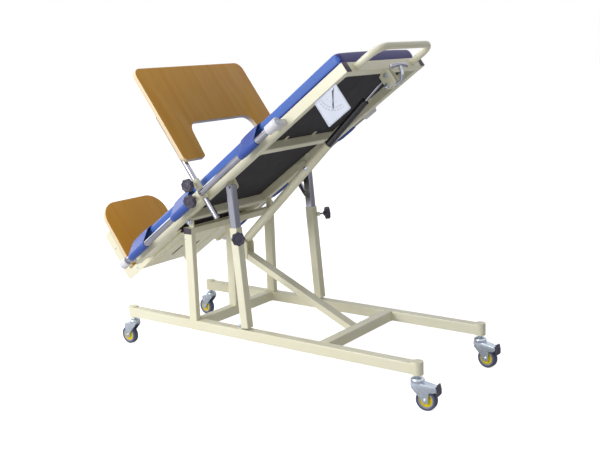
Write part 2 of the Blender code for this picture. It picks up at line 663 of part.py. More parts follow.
def cross_members():
    """The head member with the release bracket, and the middle and foot members."""
    half = BED_INNER - FIT
    shapes = [bed_block((BED_HEAD - MEMBER_WIDE, -half, 0.0), (BED_HEAD, half, BED_RAIL_TALL), TUBE_CORNER, "y")]
    rim = TUBE_CORNER + 0.001
    for side in SIDES.values():
        outline = rounded([(BRACKET_FOOT, -BRACKET_DROP), (BRACKET_HEAD, -BRACKET_DROP), (BRACKET_HEAD, -0.005),
                           (BED_HEAD - rim, 0.002), (BED_HEAD - MEMBER_WIDE + rim, 0.002), (BRACKET_FOOT, -0.006)],
                          [0.005, 0.005, 0.003, 0.0, 0.0, 0.003])
        shapes.append(standing([on_bed(s, 0.0, t)[::2] for s, t in outline],
                               side * (BRACKET_HALF - BRACKET_PLATE / 2), BRACKET_PLATE))
        for s, t in ((STRUT_HEAD_S, STRUT_HEAD_T), (LEVER_S, LEVER_T)):
            shapes.append(cylinder(on_bed(s, side * (BRACKET_HALF - 0.001), t),
                                   on_bed(s, side * (BRACKET_HALF + 0.005), t), 0.0065, 6))
    for s, t, radius in ((STRUT_HEAD_S, STRUT_HEAD_T, STRUT_PIN), (LEVER_S, LEVER_T, LEVER_PIN)):
        end = BRACKET_HALF - BRACKET_PLATE / 2
        shapes.append(cylinder(on_bed(s, -end, t), on_bed(s, end, t), radius, 12))
    part("head_cross_member", PAINT, shapes, parent=bed)
    for name, s in (("middle_cross_member", MID_MEMBER_S), ("foot_cross_member", FOOT_MEMBER_S)):
        member = bed_block((s, -half, 0.0), (s + MEMBER_WIDE, half, MEMBER_TALL), TUBE_CORNER, "y")
        part(name, PAINT, [member], parent=bed)


def support_board():
    """The dark board between the rails that the mattress lies on."""
    half = BED_INNER - FIT
    board = bed_block((BOARD_FOOT, -half, BED_RAIL_TALL - BOARD_THICK),
                      (BED_HEAD - MEMBER_WIDE - FIT, half, BED_RAIL_TALL))
    part("support_board", BOARD, [board], parent=bed, smooth=False)


def push_handle():
    """A round tube, bent twice, that stands out from the head member."""
    start, end = BED_HEAD + FIT, BED_HEAD + HANDLE_REACH
    middle = BED_RAIL_TALL / 2
    corners = [(start, -HANDLE_Y), (end, -HANDLE_Y), (end, HANDLE_Y), (start, HANDLE_Y)]
    path = rounded(corners, [0.0, HANDLE_BEND, HANDLE_BEND, 0.0], 6)
    part("push_handle", PAINT, [tube([on_bed(s, y, middle) for s, y in path], HANDLE_RADIUS, 4)], parent=bed)


def mattress():
    """The cushion: a crowned top, drawn-in sides and a flat base on the rails and board."""
    long, wide = MATTRESS_HEAD - MATTRESS_FOOT, 2 * MATTRESS_HALF
    across, rows = 8, 18
    bm = bmesh.new()
    bmesh.ops.create_grid(bm, x_segments=rows, y_segments=across, size=0.5)
    base = list(bm.verts)
    lifted = bmesh.ops.extrude_face_region(bm, geom=list(bm.faces))
    top = [v for v in lifted["geom"] if isinstance(v, bmesh.types.BMVert)]
    for v in top:
        v.co.z += 1.0
    middle = [e for e in bm.edges if abs(e.verts[0].co.z - e.verts[1].co.z) > 0.5]
    bmesh.ops.subdivide_edges(bm, edges=middle, cuts=3, use_grid_fill=True)
    for v in bm.verts:
        u, w, height = v.co.x * 2, v.co.y * 2, v.co.z
        rim = max(abs(u), abs(w)) > 0.999
        pinch = 0.010 * (abs(height - 0.45) * 1.6) ** 3 if rim else 0.0
        crown = MATTRESS_CROWN * (1 - u ** 14) * (1 - w ** 2) if height > 0.9 else 0.0
        drop = 0.006 if rim and height > 0.9 else 0.0
        v.co.x = u * (long / 2 - pinch)
        v.co.y = w * (wide / 2 - pinch)
        v.co.z = height * MATTRESS_THICK + crown - drop
    mesh = closed_mesh(bm)
    middle_s = (MATTRESS_HEAD + MATTRESS_FOOT) / 2
    placed(mesh, Matrix.Translation(on_bed(middle_s, 0.0, MATTRESS_BOTTOM)))
    part("mattress", VINYL, [mesh], parent=bed)


def strap_path():
    """Half of a strap's line across the bed, from the middle to under one side bar."""
    reach = BAR_RADIUS + 2 * FIT + STRAP_THICK / 2
    over = MATTRESS_TOP + MATTRESS_CROWN + STRAP_THICK / 2 + 0.0006
    edge = MATTRESS_HALF + STRAP_THICK
    path = [(0.0, over), (0.6 * edge, over), (0.86 * edge, over + 0.004), (edge, over - 0.004)]
    last = Vector(path[-1]) - Vector((BAR_Y, BAR_T))
    start = math.atan2(last.y, last.x) - math.acos(reach / last.length)
    turn = math.radians(-210.0)
    for k in range(13):
        angle = start + turn * k / 12
        path.append((BAR_Y + reach * math.cos(angle), BAR_T + reach * math.sin(angle)))
    return path


def straps():
    """Three wide straps over the mattress, each hooked round both side bars."""
    half_path = strap_path()
    path = [(-y, t) for y, t in reversed(half_path[1:])] + half_path
    for label, span in STRAP_SPANS.items():
        bm = bmesh.new()
        rows = [[bm.verts.new(on_bed(s, y, t)) for y, t in path] for s in span]
        for i in range(len(path) - 1):
            bm.faces.new((rows[0][i], rows[0][i + 1], rows[1][i + 1], rows[1][i]))
        mesh = bpy.data.meshes.new("strap")
        bm.to_mesh(mesh)
        bm.free()
        holder = bpy.data.objects.new("strap", mesh)
        skin = holder.modifiers.new("cloth", "SOLIDIFY")
        skin.thickness = STRAP_THICK
        skin.offset = 0.0
        skin.use_even_offset = True
        part(f"strap_{label}", WEBBING, [evaluated_mesh(holder)], parent=bed)


def side_bars():
    """A chrome bar along each side, held by a block at both ends."""
    for label, side in SIDES.items():
        y = side * BAR_Y
        bar = cylinder(on_bed(BAR_FOOT, y, BAR_T), on_bed(BAR_HEAD, y, BAR_T), BAR_RADIUS)
        part(f"side_bar_{label}", CHROME, [bar], parent=bed)
        for end, (foot, head) in HOLDER_SPANS.items():
            low_y, high_y = side_span(side, BED_OUTER + FIT, BAR_Y)
            arm = bed_block((foot, low_y, BAR_T - HOLDER_ARM / 2), (head, high_y, BAR_T + HOLDER_ARM / 2))
            if end == "foot":
                arm = bed_block((BED_FOOT, low_y, BAR_T - HOLDER_ARM / 2), (head, high_y, BAR_T + HOLDER_ARM / 2))
            sleeve = cylinder(on_bed(foot, y, BAR_T), on_bed(head, y, BAR_T), HOLDER_RADIUS)
            bore = cylinder(on_bed(foot - 0.01, y, BAR_T), on_bed(head + 0.01, y, BAR_T), BAR_RADIUS + FIT)
            part(f"bar_holder_{label}_{end}", WHITE, [sleeve, arm], [bore], parent=bed)


def angle_gauge():
    """A plate under the near rail with a weighted needle that hangs plumb."""
    y = -GAUGE_Y
    face = y - GAUGE_THICK / 2
    outline = rounded([(GAUGE_FOOT, -GAUGE_DROP), (GAUGE_HEAD, -GAUGE_DROP), (GAUGE_HEAD, -FIT), (GAUGE_FOOT, -FIT)],
                      [0.003, 0.003, 0.0, 0.0], 3)
    plate = standing([on_bed(s, 0.0, t)[::2] for s, t in outline], y, GAUGE_THICK)
    pin = cylinder(on_bed(NEEDLE_S, y, NEEDLE_T), on_bed(NEEDLE_S, face - 0.003, NEEDLE_T), NEEDLE_PIN, 16)
    head = cylinder(on_bed(NEEDLE_S, face - 0.0022, NEEDLE_T), on_bed(NEEDLE_S, face - 0.004, NEEDLE_T), 0.0042, 20)
    part("angle_gauge_plate", DIAL, [plate, pin, head], parent=bed)

    plumb = joint("needle_pivot", on_bed(NEEDLE_S, 0.0, NEEDLE_T), TILT, parent=bed)
    blade = [(-0.0035, 0.004), (-0.0035, -0.006), (-0.0012, -NEEDLE_LONG * 0.6), (-0.003, -NEEDLE_LONG * 0.75),
             (0.0, -NEEDLE_LONG), (0.003, -NEEDLE_LONG * 0.75), (0.0012, -NEEDLE_LONG * 0.6), (0.0035, -0.006),
             (0.0035, 0.004)]
    needle = standing(blade, face - 0.0013, 0.0012)
    bore = cylinder((0.0, face - 0.01, 0.0), (0.0, face + 0.01, 0.0), NEEDLE_PIN + RUNNING, 16)
    part("gauge_needle", BLACK, [needle], [bore], parent=plumb)


def release_lever():
    """A bent stem with a cross handle, which frees the gas strut when it is pulled."""
    run = [(0.0, LEVER_T), (0.021, -0.060), (0.044, -0.0655), (0.061, -0.058), (0.073, -0.040), (0.0785, -0.014)]
    stem = [(LEVER_S + s, t) for s, t in run]
    bar_s, bar_t = stem[-1]
    eye = cylinder(on_bed(LEVER_S, -0.0098, LEVER_T), on_bed(LEVER_S, 0.0098, LEVER_T), 0.0085, 20)
    shapes = [eye, tube([on_bed(s, 0.0, t) for s, t in stem], LEVER_STEM, 3),
              cylinder(on_bed(bar_s, -LEVER_BAR / 2, bar_t), on_bed(bar_s, LEVER_BAR / 2, bar_t), LEVER_GRIP, 16)]
    bore = cylinder(on_bed(LEVER_S, -0.03, LEVER_T), on_bed(LEVER_S, 0.03, LEVER_T), LEVER_PIN + RUNNING, 12)
    part("release_lever", ZINC, shapes, [bore], on_bed(LEVER_S, 0.0, LEVER_T), bed)


def gas_strut():
    """The piston rod, the cylinder round it and the long tube that carries the cylinder."""
    head_x, head_z = from_bed(STRUT_HEAD_S, STRUT_HEAD_T)
    run_x, run_z = head_x - STRUT_FOOT_X, head_z - STRUT_FOOT_Z
    length = math.hypot(run_x, run_z)
    angle = math.atan2(run_z, run_x) - TILT
    strut = joint("strut_head", on_bed(STRUT_HEAD_S, 0.0, STRUT_HEAD_T), -angle, parent=bed)

    def at(distance, y=0.0):
        """A place on the strut, measured from its foot pivot."""
        return (distance - length, y, 0.0)

    rod = [cylinder(at(PISTON_AT), at(length), ROD_RADIUS, 16),
           cylinder(at(PISTON_AT), at(PISTON_AT + PISTON_LONG), GAS_BORE - RUNNING, 20),
           cylinder(at(length, -0.0095), at(length, 0.0095), 0.0095, 20)]
    eye_bore = cylinder(at(length, -0.03), at(length, 0.03), STRUT_PIN + RUNNING, 12)
    part("piston_rod", CHROME, rod, [eye_bore], parent=strut)

    shell = [cylinder(at(GAS_START), at(GAS_END), GAS_RADIUS)]
    hollow = cylinder(at(GAS_START + 0.024), at(GAS_END - 0.014), GAS_BORE, 20)
    gland = cylinder(at(GAS_END - 0.03), at(GAS_END + 0.01), ROD_RADIUS + RUNNING, 16)
    cross = cylinder(at(GAS_START + 0.011, -0.03), at(GAS_START + 0.011, 0.03), GAS_PIN + RUNNING, 12)
    part("gas_cylinder", GAS_BLACK, shell, [hollow, gland, cross], parent=strut)

    sleeve = [cylinder(at(STRUT_TUBE_START), at(STRUT_TUBE_END), STRUT_TUBE_RADIUS)]
    bore = cylinder(at(STRUT_TUBE_START + 0.012), at(STRUT_TUBE_END + 0.01), STRUT_TUBE_RADIUS - STRUT_TUBE_WALL)
    eye_shape = eye_outline((0.0, -length), STRUT_EYE, at(STRUT_TUBE_START + 0.004)[0])
    eye = standing([(x, z) for z, x in eye_shape], 0.0, 0.020)
    pin = cylinder(at(GAS_START + 0.011, -STRUT_TUBE_RADIUS - 0.003), at(GAS_START + 0.011, STRUT_TUBE_RADIUS + 0.003),
                   GAS_PIN, 12)
    tube_body = part("strut_tube", PAINT, sleeve, [bore], parent=strut)
    for number, mesh in enumerate([eye, pin]):
        add_after(tube_body, mesh, number, strut)


def add_after(body, mesh, number, parent, origin=(0.0, 0.0, 0.0)):
    """Join a shape to a piece after its cuts, such as a pin across a bore."""
    helper = bpy.data.objects.new(f"{body.name}_join_{number}", mesh)
    cutters.objects.link(helper)
    helper.location = origin
    helper.parent = parent
    helper.hide_render = True
    helper.display_type = "WIRE"
    boolean = body.modifiers.new("join", "BOOLEAN")
    boolean.operation = "UNION"
    boolean.object = helper
    boolean.solver = "EXACT"


def lobed_outline():
    """A round outline with shallow lobes."""
    count = KNOB_LOBES * 4
    points = []
    for k in range(count):
        angle = 2 * math.pi * k / count
        radius = KNOB_RADIUS - KNOB_LOBE + KNOB_LOBE * math.cos(KNOB_LOBES * angle)
        points.append((radius * math.cos(angle), radius * math.sin(angle)))
    return points


def lock_knob(name, tip, direction, stud, parent):
    """A lobed knob on a cone and a stud, which turns on the line through its stud."""
    turn = Vector(direction).to_track_quat("Z", "Y").to_matrix().to_4x4()
    place = Matrix.Translation(tip) @ turn
    head = placed(flat(lobed_outline(), KNOB_THICK), Matrix.Translation((0, 0, stud + KNOB_CONE + KNOB_THICK / 2)))
    cone = cylinder((0, 0, stud), (0, 0, stud + KNOB_CONE + 0.001), 0.0085, 12, 0.014)
    shaft = cylinder((0, 0, 0), (0, 0, stud + 0.001), STUD_RADIUS, 12)
    shapes = [placed(mesh, place) for mesh in (head, cone, shaft)]
    part(name, BLACK, shapes, origin=tip, parent=parent)


def telescoping_posts():
    """A square post on each side: an outer tube on the base rail and a chrome inner tube."""
    for label, side in SIDES.items():
        y = side * POST_Y
        axis = joint(f"post_foot_{label}", (POST_FOOT_X, 0.0, POST_FOOT_Z), -POST_LEAN, parent=table)
        half, bore, slim = POST_OUTER / 2, POST_BORE / 2, POST_INNER / 2
        outer = block((POST_OFFSET - half, y - half, POST_OUTER_FOOT), (POST_OFFSET + half, y + half, POST_OUTER_TOP),
                      TUBE_CORNER, "z")
        lug_shape = eye_outline((0.0, 0.0), 0.0065, POST_OFFSET - half + 0.001)
        lug = standing([(x, z) for z, x in lug_shape], y, POST_LUG)
        knob_z = POST_OUTER_TOP - POST_KNOB_DROP
        out = Vector((1.0, side, 0.0)).normalized()
        corner = Vector((POST_OFFSET, y, knob_z))
        boss = cylinder(corner + out * 0.0222, corner + out * 0.034, KNOB_BOSS, 16)
        hollow = block((POST_OFFSET - bore, y - bore, -0.05), (POST_OFFSET + bore, y + bore, 0.5), 0.002, "z")
        stud_hole = cylinder(corner + out * 0.015, corner + out * 0.040, STUD_RADIUS + RUNNING, 12)
        pin_hole = cylinder((0.0, y - 0.03, 0.0), (0.0, y + 0.03, 0.0), POST_PIN + RUNNING, 12)
        part(f"post_outer_{label}", PAINT, [outer, lug, boss], [hollow, stud_hole, pin_hole], parent=axis)

        post_inner(label, y, slim, axis)
        lock_knob(f"post_knob_{label}", corner + out * 0.0206, out, 0.0294, axis)


def post_inner(label, y, slim, axis):
    """The chrome inner tube, closed at the top, with an open bore from below and the pivot bolt's head outside."""
    side = math.copysign(1.0, y)
    inner = block((POST_OFFSET - slim, y - slim, POST_INNER_FOOT), (POST_OFFSET + slim, y + slim, POST_INNER_TOP),
                  TUBE_CORNER, "z")
    bore = POST_INNER_BORE / 2
    hollow = block((POST_OFFSET - bore, y - bore, POST_INNER_FOOT - 0.01),
                   (POST_OFFSET + bore, y + bore, POST_INNER_TOP - 0.030))
    bolt = cylinder((POST_OFFSET, y + side * (slim - 0.001), POST_INNER_TOP - POST_BOLT_DROP),
                    (POST_OFFSET, y + side * (slim + 0.005), POST_INNER_TOP - POST_BOLT_DROP), POST_BOLT_HEAD, 6)
    part(f"post_inner_{label}", CHROME, [inner, bolt], [hollow], parent=axis)


def tray():
    """The wooden tray on two rods, held to the side bars by cross clamps."""
    corners = [(-TRAY_HALF, TRAY_BOTTOM), (-TRAY_ARM_END, TRAY_BOTTOM), (-TRAY_ARM, TRAY_NOTCH), (TRAY_ARM, TRAY_NOTCH),
               (TRAY_ARM_END, TRAY_BOTTOM), (TRAY_HALF, TRAY_BOTTOM), (TRAY_HALF, TRAY_TOP), (-TRAY_HALF, TRAY_TOP)]
    radii = [0.020, 0.014, 0.048, 0.048, 0.014, 0.020, TRAY_CORNER, TRAY_CORNER]
    outline = [on_bed(0.0, y, t)[1:] for y, t in rounded(corners, radii, 6)]
    middle = on_bed(TRAY_FACE - TRAY_THICK / 2, 0.0, 0.0)[0]
    part("tray_board", WOOD, [facing(outline, middle, TRAY_THICK)], parent=bed)

    for label, side in SIDES.items():
        y = side * TRAY_ROD_Y
        rod = cylinder(on_bed(TRAY_ROD_S, y, TRAY_ROD_BOTTOM), on_bed(TRAY_ROD_S, y, TRAY_ROD_TOP), TRAY_ROD_RADIUS)
        pad = bed_block((TRAY_ROD_S + 0.004, y - 0.009, TRAY_BOTTOM + 0.014), (TRAY_BACK - FIT, y + 0.009, TRAY_ROD_TOP))
        part(f"tray_rod_{label}", CHROME, [rod, pad], parent=bed)
        cross_clamp(label, side)


def cross_clamp(label, side):
    """Two crossed sleeves, one round the tray rod and one round the side bar."""
    rod_y, bar_y = side * TRAY_ROD_Y, side * BAR_Y
    rod_sleeve, bar_sleeve = TRAY_ROD_RADIUS + CLAMP_WALL, BAR_RADIUS + CLAMP_WALL
    head = TRAY_ROD_S + rod_sleeve
    rod_face = TRAY_ROD_Y + TRAY_ROD_RADIUS
    aim = Vector((0.0, side * math.cos(BAR_KNOB_DIP), -math.sin(BAR_KNOB_DIP)))
    bar_middle = Vector(on_bed(BAR_KNOB_S, bar_y, BAR_T))
    shapes = [cylinder(on_bed(TRAY_ROD_S, rod_y, CLAMP_BOTTOM), on_bed(TRAY_ROD_S, rod_y, CLAMP_TOP), rod_sleeve),
              cylinder(on_bed(CLAMP_FOOT, bar_y, BAR_T), on_bed(head, bar_y, BAR_T), bar_sleeve),
              cylinder(on_bed(TRAY_ROD_S, side * (rod_face + 0.001), ROD_KNOB_T),
                       on_bed(TRAY_ROD_S, side * (rod_face + 0.0235), ROD_KNOB_T), KNOB_BOSS, 16),
              cylinder(bar_middle + aim * (BAR_RADIUS + 0.0015), bar_middle + aim * (bar_sleeve + 0.0022),
                       KNOB_BOSS, 16)]
    cuts = [cylinder(on_bed(TRAY_ROD_S, rod_y, -0.2), on_bed(TRAY_ROD_S, rod_y, 0.2), TRAY_ROD_RADIUS + FIT),
            cylinder(on_bed(0.0, bar_y, BAR_T), on_bed(0.4, bar_y, BAR_T), BAR_RADIUS + FIT),
            cylinder(on_bed(TRAY_ROD_S, rod_y, ROD_KNOB_T), on_bed(TRAY_ROD_S, side * 0.4, ROD_KNOB_T),
                     STUD_RADIUS + RUNNING, 12),
            cylinder(bar_middle, bar_middle + aim * 0.05, STUD_RADIUS + RUNNING, 12)]
    part(f"cross_clamp_{label}", PAINT, shapes, cuts, parent=bed)
    lock_knob(f"tray_rod_knob_{label}", on_bed(TRAY_ROD_S, side * (rod_face + FIT), ROD_KNOB_T), (0.0, side, 0.0),
              0.0247, bed)
    lock_knob(f"side_bar_knob_{label}", bar_middle + aim * (BAR_RADIUS + FIT), aim, 0.0067, bed)


def footboard():
    """The wooden foot panel on a sheet-metal slide that runs in guides under the bed."""
    corners = [(-PANEL_HALF, PANEL_BOTTOM), (PANEL_HALF, PANEL_BOTTOM), (PANEL_HALF, PANEL_TOP),
               (-PANEL_HALF, PANEL_TOP)]
    outline = [on_bed(0.0, y, t)[1:] for y, t in rounded(corners, [0.012, 0.012, PANEL_CORNER, PANEL_CORNER], 10)]
    middle = on_bed(PANEL_FACE - PANEL_THICK / 2, 0.0, 0.0)[0]
    part("footboard_panel", WOOD, [facing(outline, middle, PANEL_THICK)], parent=bed)

    shapes = [bed_block((SLIDE_PAN_FOOT, -PANEL_HALF + 0.001, 0.0), (SLIDE_HEAD, PANEL_HALF - 0.001, 0.004))]
    back = PANEL_BACK - FIT
    for side in SIDES.values():
        corners = [(SLIDE_BACK, 0.0), (SLIDE_HEAD, 0.0), (SLIDE_HEAD, MEMBER_TALL), (back, MEMBER_TALL),
                   (back, UPRIGHT_TOP), (SLIDE_BACK, UPRIGHT_TOP)]
        outline = rounded(corners, [0.014, 0.0, 0.0, 0.0, 0.004, 0.012])
        shapes.append(standing([on_bed(s, 0.0, t)[::2] for s, t in outline],
                               side * (PANEL_HALF - SLIDE_SIDE / 2), SLIDE_SIDE))
        low, high = side_span(side, PANEL_HALF - 0.035, PANEL_HALF - 0.001)
        shapes.append(bed_block((back - 0.004, low, 0.020), (back, high, UPRIGHT_TOP)))
        low, high = side_span(side, PANEL_HALF - 0.001, BED_INNER - 0.003)
        shapes.append(bed_block((GUIDE_FOOT - 0.005, low, GUIDE_BOTTOM + GUIDE_WALL + FIT),
                                (SLIDE_HEAD - 0.020, high, GUIDE_TOP - GUIDE_WALL - FIT)))
    part("foot_slide", PAINT, shapes, parent=bed)


base_rails()
base_crosses()
pivot_frame()
casters()
bed_rails()
cross_members()
support_board()
push_handle()
mattress()
straps()
side_bars()
angle_gauge()
release_lever()
gas_strut()
telescoping_posts()
tray()
footboard()
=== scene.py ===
"""The looks of a pediatric tilt table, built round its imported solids."""
import json
import math

import bmesh
import bpy
from mathutils import Matrix, Vector
from mathutils.bvhtree import BVHTree


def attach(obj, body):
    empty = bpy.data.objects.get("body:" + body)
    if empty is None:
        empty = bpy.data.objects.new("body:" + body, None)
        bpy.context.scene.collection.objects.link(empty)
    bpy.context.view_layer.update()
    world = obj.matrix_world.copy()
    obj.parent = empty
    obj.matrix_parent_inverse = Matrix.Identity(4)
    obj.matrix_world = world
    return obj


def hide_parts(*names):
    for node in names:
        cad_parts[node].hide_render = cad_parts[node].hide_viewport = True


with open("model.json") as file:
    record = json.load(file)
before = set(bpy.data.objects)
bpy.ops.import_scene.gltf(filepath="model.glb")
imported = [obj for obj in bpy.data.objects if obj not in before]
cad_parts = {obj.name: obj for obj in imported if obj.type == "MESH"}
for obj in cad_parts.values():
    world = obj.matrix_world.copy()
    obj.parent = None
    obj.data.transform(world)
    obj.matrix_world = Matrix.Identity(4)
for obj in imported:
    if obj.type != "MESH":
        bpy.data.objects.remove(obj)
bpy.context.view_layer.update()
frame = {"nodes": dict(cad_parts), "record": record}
nodes = frame["nodes"]

# Places, in metres. The bed's frame has s towards the head, y across and t up from the rails' undersides.
# BAR is a side bar's middle, and drops are below the base rails' undersides
TILT = math.radians(36.0)
BED = (Matrix.Translation((-0.230955, 0.0, 0.5645)) @ Matrix.Rotation(-TILT, 4, "Y")
       @ Matrix.Translation((-0.021, 0.0, 0.015)))
BASE = Matrix.Translation((-0.256955, 0.0, 0.1252))
POST = BASE @ Matrix.Translation((0.256, 0.0, 0.051)) @ Matrix.Rotation(-math.radians(4.7), 4, "Y")
SIDES = {"near": -1.0, "far": 1.0}
BAR_Y = 0.315
BAR_T = 0.0206
BAR_RADIUS = 0.0125
BOARD_THICK = 0.018
GAUGE_PIVOT_S = 0.892
GAUGE_PIVOT_T = -0.0085
STRUT_FOOT = Vector((0.086, 0.0, 0.316))
STRUT_HEAD = Vector((0.785446, 0.0, 0.989834))
TRAIL = 0.033
AXLE_DROP = 0.0877
FORK_HALF = 0.0165
FORK_PLATE = 0.003
PEDAL_PIN_X = 0.030
PEDAL_PIN_DROP = 0.0385
MOST_SWELL = 0.003
# Each caster's stem along the base, and the way that it trails in degrees
CASTERS = {"near_head": (1.028, 5.5), "far_head": (1.028, -7.0), "near_foot": (-0.340, 180.0),
           "far_foot": (-0.340, 175.0)}
CASTER_Y = 0.2457


def srgb(red, green, blue):
    """A colour written as the screen shows it, from 0 to 255, as the shader wants it."""
    return [(c / 255 / 12.92 if c < 11 else ((c / 255 + 0.055) / 1.055) ** 2.4)
            for c in (red, green, blue)] + [1.0]


# Shader node groups that the finishes share
def new_group(name, inputs, outputs):
    tree = bpy.data.node_groups.new(name, "ShaderNodeTree")
    for label, kind in inputs:
        tree.interface.new_socket(label, in_out="INPUT", socket_type=f"NodeSocket{kind}")
    for label, kind in outputs:
        tree.interface.new_socket(label, in_out="OUTPUT", socket_type=f"NodeSocket{kind}")
    return tree, tree.nodes.new("NodeGroupInput"), tree.nodes.new("NodeGroupOutput")


def stretched_place(tree, enter):
    """Object coordinates turned to the bed's slope and stretched."""
    place = tree.nodes.new("ShaderNodeTexCoord")
    turn = tree.nodes.new("ShaderNodeVectorRotate")
    turn.rotation_type = "Y_AXIS"
    stretch = tree.nodes.new("ShaderNodeVectorMath")
    stretch.operation = "MULTIPLY"
    tree.links.new(place.outputs["Object"], turn.inputs["Vector"])
    tree.links.new(enter.outputs["Slope"], turn.inputs["Angle"])
    tree.links.new(turn.outputs[0], stretch.inputs[0])
    tree.links.new(enter.outputs["Stretch"], stretch.inputs[1])
    return stretch.outputs[0]


def noise_node(tree, vector, scale, detail=3.0, distortion=0.0):
    node = tree.nodes.new("ShaderNodeTexNoise")
    node.inputs["Detail"].default_value = detail
    node.inputs["Distortion"].default_value = distortion
    tree.links.new(vector, node.inputs["Vector"])
    if isinstance(scale, (int, float)):
        node.inputs["Scale"].default_value = scale
    else:
        tree.links.new(scale, node.inputs["Scale"])
    return node.outputs[0]


def math_node(tree, operation, first, second):
    node = tree.nodes.new("ShaderNodeMath")
    node.operation = operation
    for socket, value in zip(node.inputs, (first, second)):
        if isinstance(value, (int, float)):
            socket.default_value = value
        else:
            tree.links.new(value, socket)
    return node.outputs[0]


def limits_node(tree, value, low, high, to_low=0.0, to_high=1.0):
    node = tree.nodes.new("ShaderNodeMapRange")
    for label, number in (("From Min", low), ("From Max", high), ("To Min", to_low), ("To Max", to_high)):
        if isinstance(number, (int, float)):
            node.inputs[label].default_value = number
        else:
            tree.links.new(number, node.inputs[label])
    tree.links.new(value, node.inputs["Value"])
    return node.outputs[0]


def colour_mix(tree, factor, first, second):
    node = tree.nodes.new("ShaderNodeMix")
    node.data_type = "RGBA"
    tree.links.new(factor, node.inputs[0])
    for socket, value in ((node.inputs[6], first), (node.inputs[7], second)):
        if isinstance(value, list):
            socket.default_value = value
        else:
            tree.links.new(value, socket)
    return node.outputs[2]


def bump_node(tree, height, strength, distance):
    node = tree.nodes.new("ShaderNodeBump")
    tree.links.new(height, node.inputs["Height"])
    for label, value in (("Strength", strength), ("Distance", distance)):
        if isinstance(value, (int, float)):
            node.inputs[label].default_value = value
        else:
            tree.links.new(value, node.inputs[label])
    return node.outputs[0]


PLACE = [("Slope", "Float"), ("Stretch", "Vector")]


def tone_group():
    """Slow variation between two colours, with a mask that roughness can follow."""
    tree, enter, leave = new_group("uneven_tone", [("Colour", "Color"), ("Second colour", "Color"),
                                                   ("Scale", "Float"),
                                                   ("Amount", "Float")] + PLACE,
                                                   [("Colour", "Color"), ("Mask", "Float")])
    cloud = noise_node(tree, stretched_place(tree, enter), enter.outputs["Scale"], 4.0)
    mask = limits_node(tree, cloud, 0.35, 0.65)
    part = math_node(tree, "MULTIPLY", mask, enter.outputs["Amount"])
    mixed = colour_mix(tree, part, enter.outputs["Colour"], enter.outputs["Second colour"])
    tree.links.new(mixed, leave.inputs["Colour"])
    tree.links.new(mask, leave.inputs["Mask"])
    return tree


def grain_group():
    """Fine unevenness, such as the orange peel of paint or the grain of moulded plastic."""
    tree, enter, leave = new_group("fine_grain", [("Scale", "Float"), ("Strength", "Float"),
                                                  ("Distance", "Float")] + PLACE,
                                   [("Normal", "Vector"), ("Mask", "Float")])
    cloud = noise_node(tree, stretched_place(tree, enter), enter.outputs["Scale"], 2.0)
    normal = bump_node(tree, cloud, enter.outputs["Strength"], enter.outputs["Distance"])
    tree.links.new(normal, leave.inputs["Normal"])
    tree.links.new(cloud, leave.inputs["Mask"])
    return tree


def cell_group():
    """Small rounded cells, as on vinyl that is pressed to look like leather."""
    tree, enter, leave = new_group("leather_cells", [("Scale", "Float"), ("Strength", "Float"),
                                                     ("Distance", "Float")] + PLACE,
                                   [("Normal", "Vector"), ("Mask", "Float")])
    vector = stretched_place(tree, enter)
    cells = tree.nodes.new("ShaderNodeTexVoronoi")
    cells.feature = "SMOOTH_F1"
    tree.links.new(vector, cells.inputs["Vector"])
    tree.links.new(enter.outputs["Scale"], cells.inputs["Scale"])
    creases = noise_node(tree, vector, 26.0, 3.0, 0.6)
    height = math_node(tree, "ADD", cells.outputs["Distance"], math_node(tree, "MULTIPLY", creases, 1.4))
    normal = bump_node(tree, height, enter.outputs["Strength"], enter.outputs["Distance"])
    tree.links.new(normal, leave.inputs["Normal"])
    tree.links.new(cells.outputs["Distance"], leave.inputs["Mask"])
    return tree


def dust_group():
    """Dust and dull patches: a mask that is strongest on faces that look up."""
    tree, enter, leave = new_group("settled_dust", [("Scale", "Float"), ("Amount", "Float")] + PLACE,
                                   [("Mask", "Float")])
    shape = tree.nodes.new("ShaderNodeNewGeometry")
    split = tree.nodes.new("ShaderNodeSeparateXYZ")
    tree.links.new(shape.outputs["Normal"], split.inputs[0])
    up = limits_node(tree, split.outputs["Z"], 0.2, 1.0, 0.25, 1.0)
    cloud = limits_node(tree, noise_node(tree, stretched_place(tree, enter), enter.outputs["Scale"], 6.0),
                        0.45, 0.75)
    tree.links.new(math_node(tree, "MULTIPLY", math_node(tree, "MULTIPLY", up, cloud),
                             enter.outputs["Amount"]),
                   leave.inputs["Mask"])
    return tree


def veneer_group():
    """Straight wood grain that runs along the board, with pores and slow bands."""
    tree, enter, leave = new_group("wood_veneer", [("Light", "Color"), ("Dark", "Color"), ("Pore", "Color")]
                                   + PLACE,
                                   [("Colour", "Color"), ("Mask", "Float"), ("Normal", "Vector")])
    vector = stretched_place(tree, enter)
    bands = limits_node(tree, noise_node(tree, vector, 1.0, 5.0, 0.5), 0.34, 0.68)
    lines = limits_node(tree, noise_node(tree, vector, 6.0, 4.0, 0.2), 0.40, 0.70, 0.0, 0.45)
    base = colour_mix(tree, bands, enter.outputs["Light"], enter.outputs["Dark"])
    base = colour_mix(tree, lines, base, enter.outputs["Dark"])
    pores = limits_node(tree, noise_node(tree, vector, 21.0, 2.0), 0.64, 0.76, 0.0, 0.38)
    base = colour_mix(tree, pores, base, enter.outputs["Pore"])
    tree.links.new(base, leave.inputs["Colour"])
    tree.links.new(bands, leave.inputs["Mask"])
    tree.links.new(bump_node(tree, pores, -0.25, 0.0003), leave.inputs["Normal"])
    return tree


GROUPS = {"tone": tone_group(), "grain": grain_group(), "cells": cell_group(), "dust": dust_group(),
          "veneer": veneer_group()}


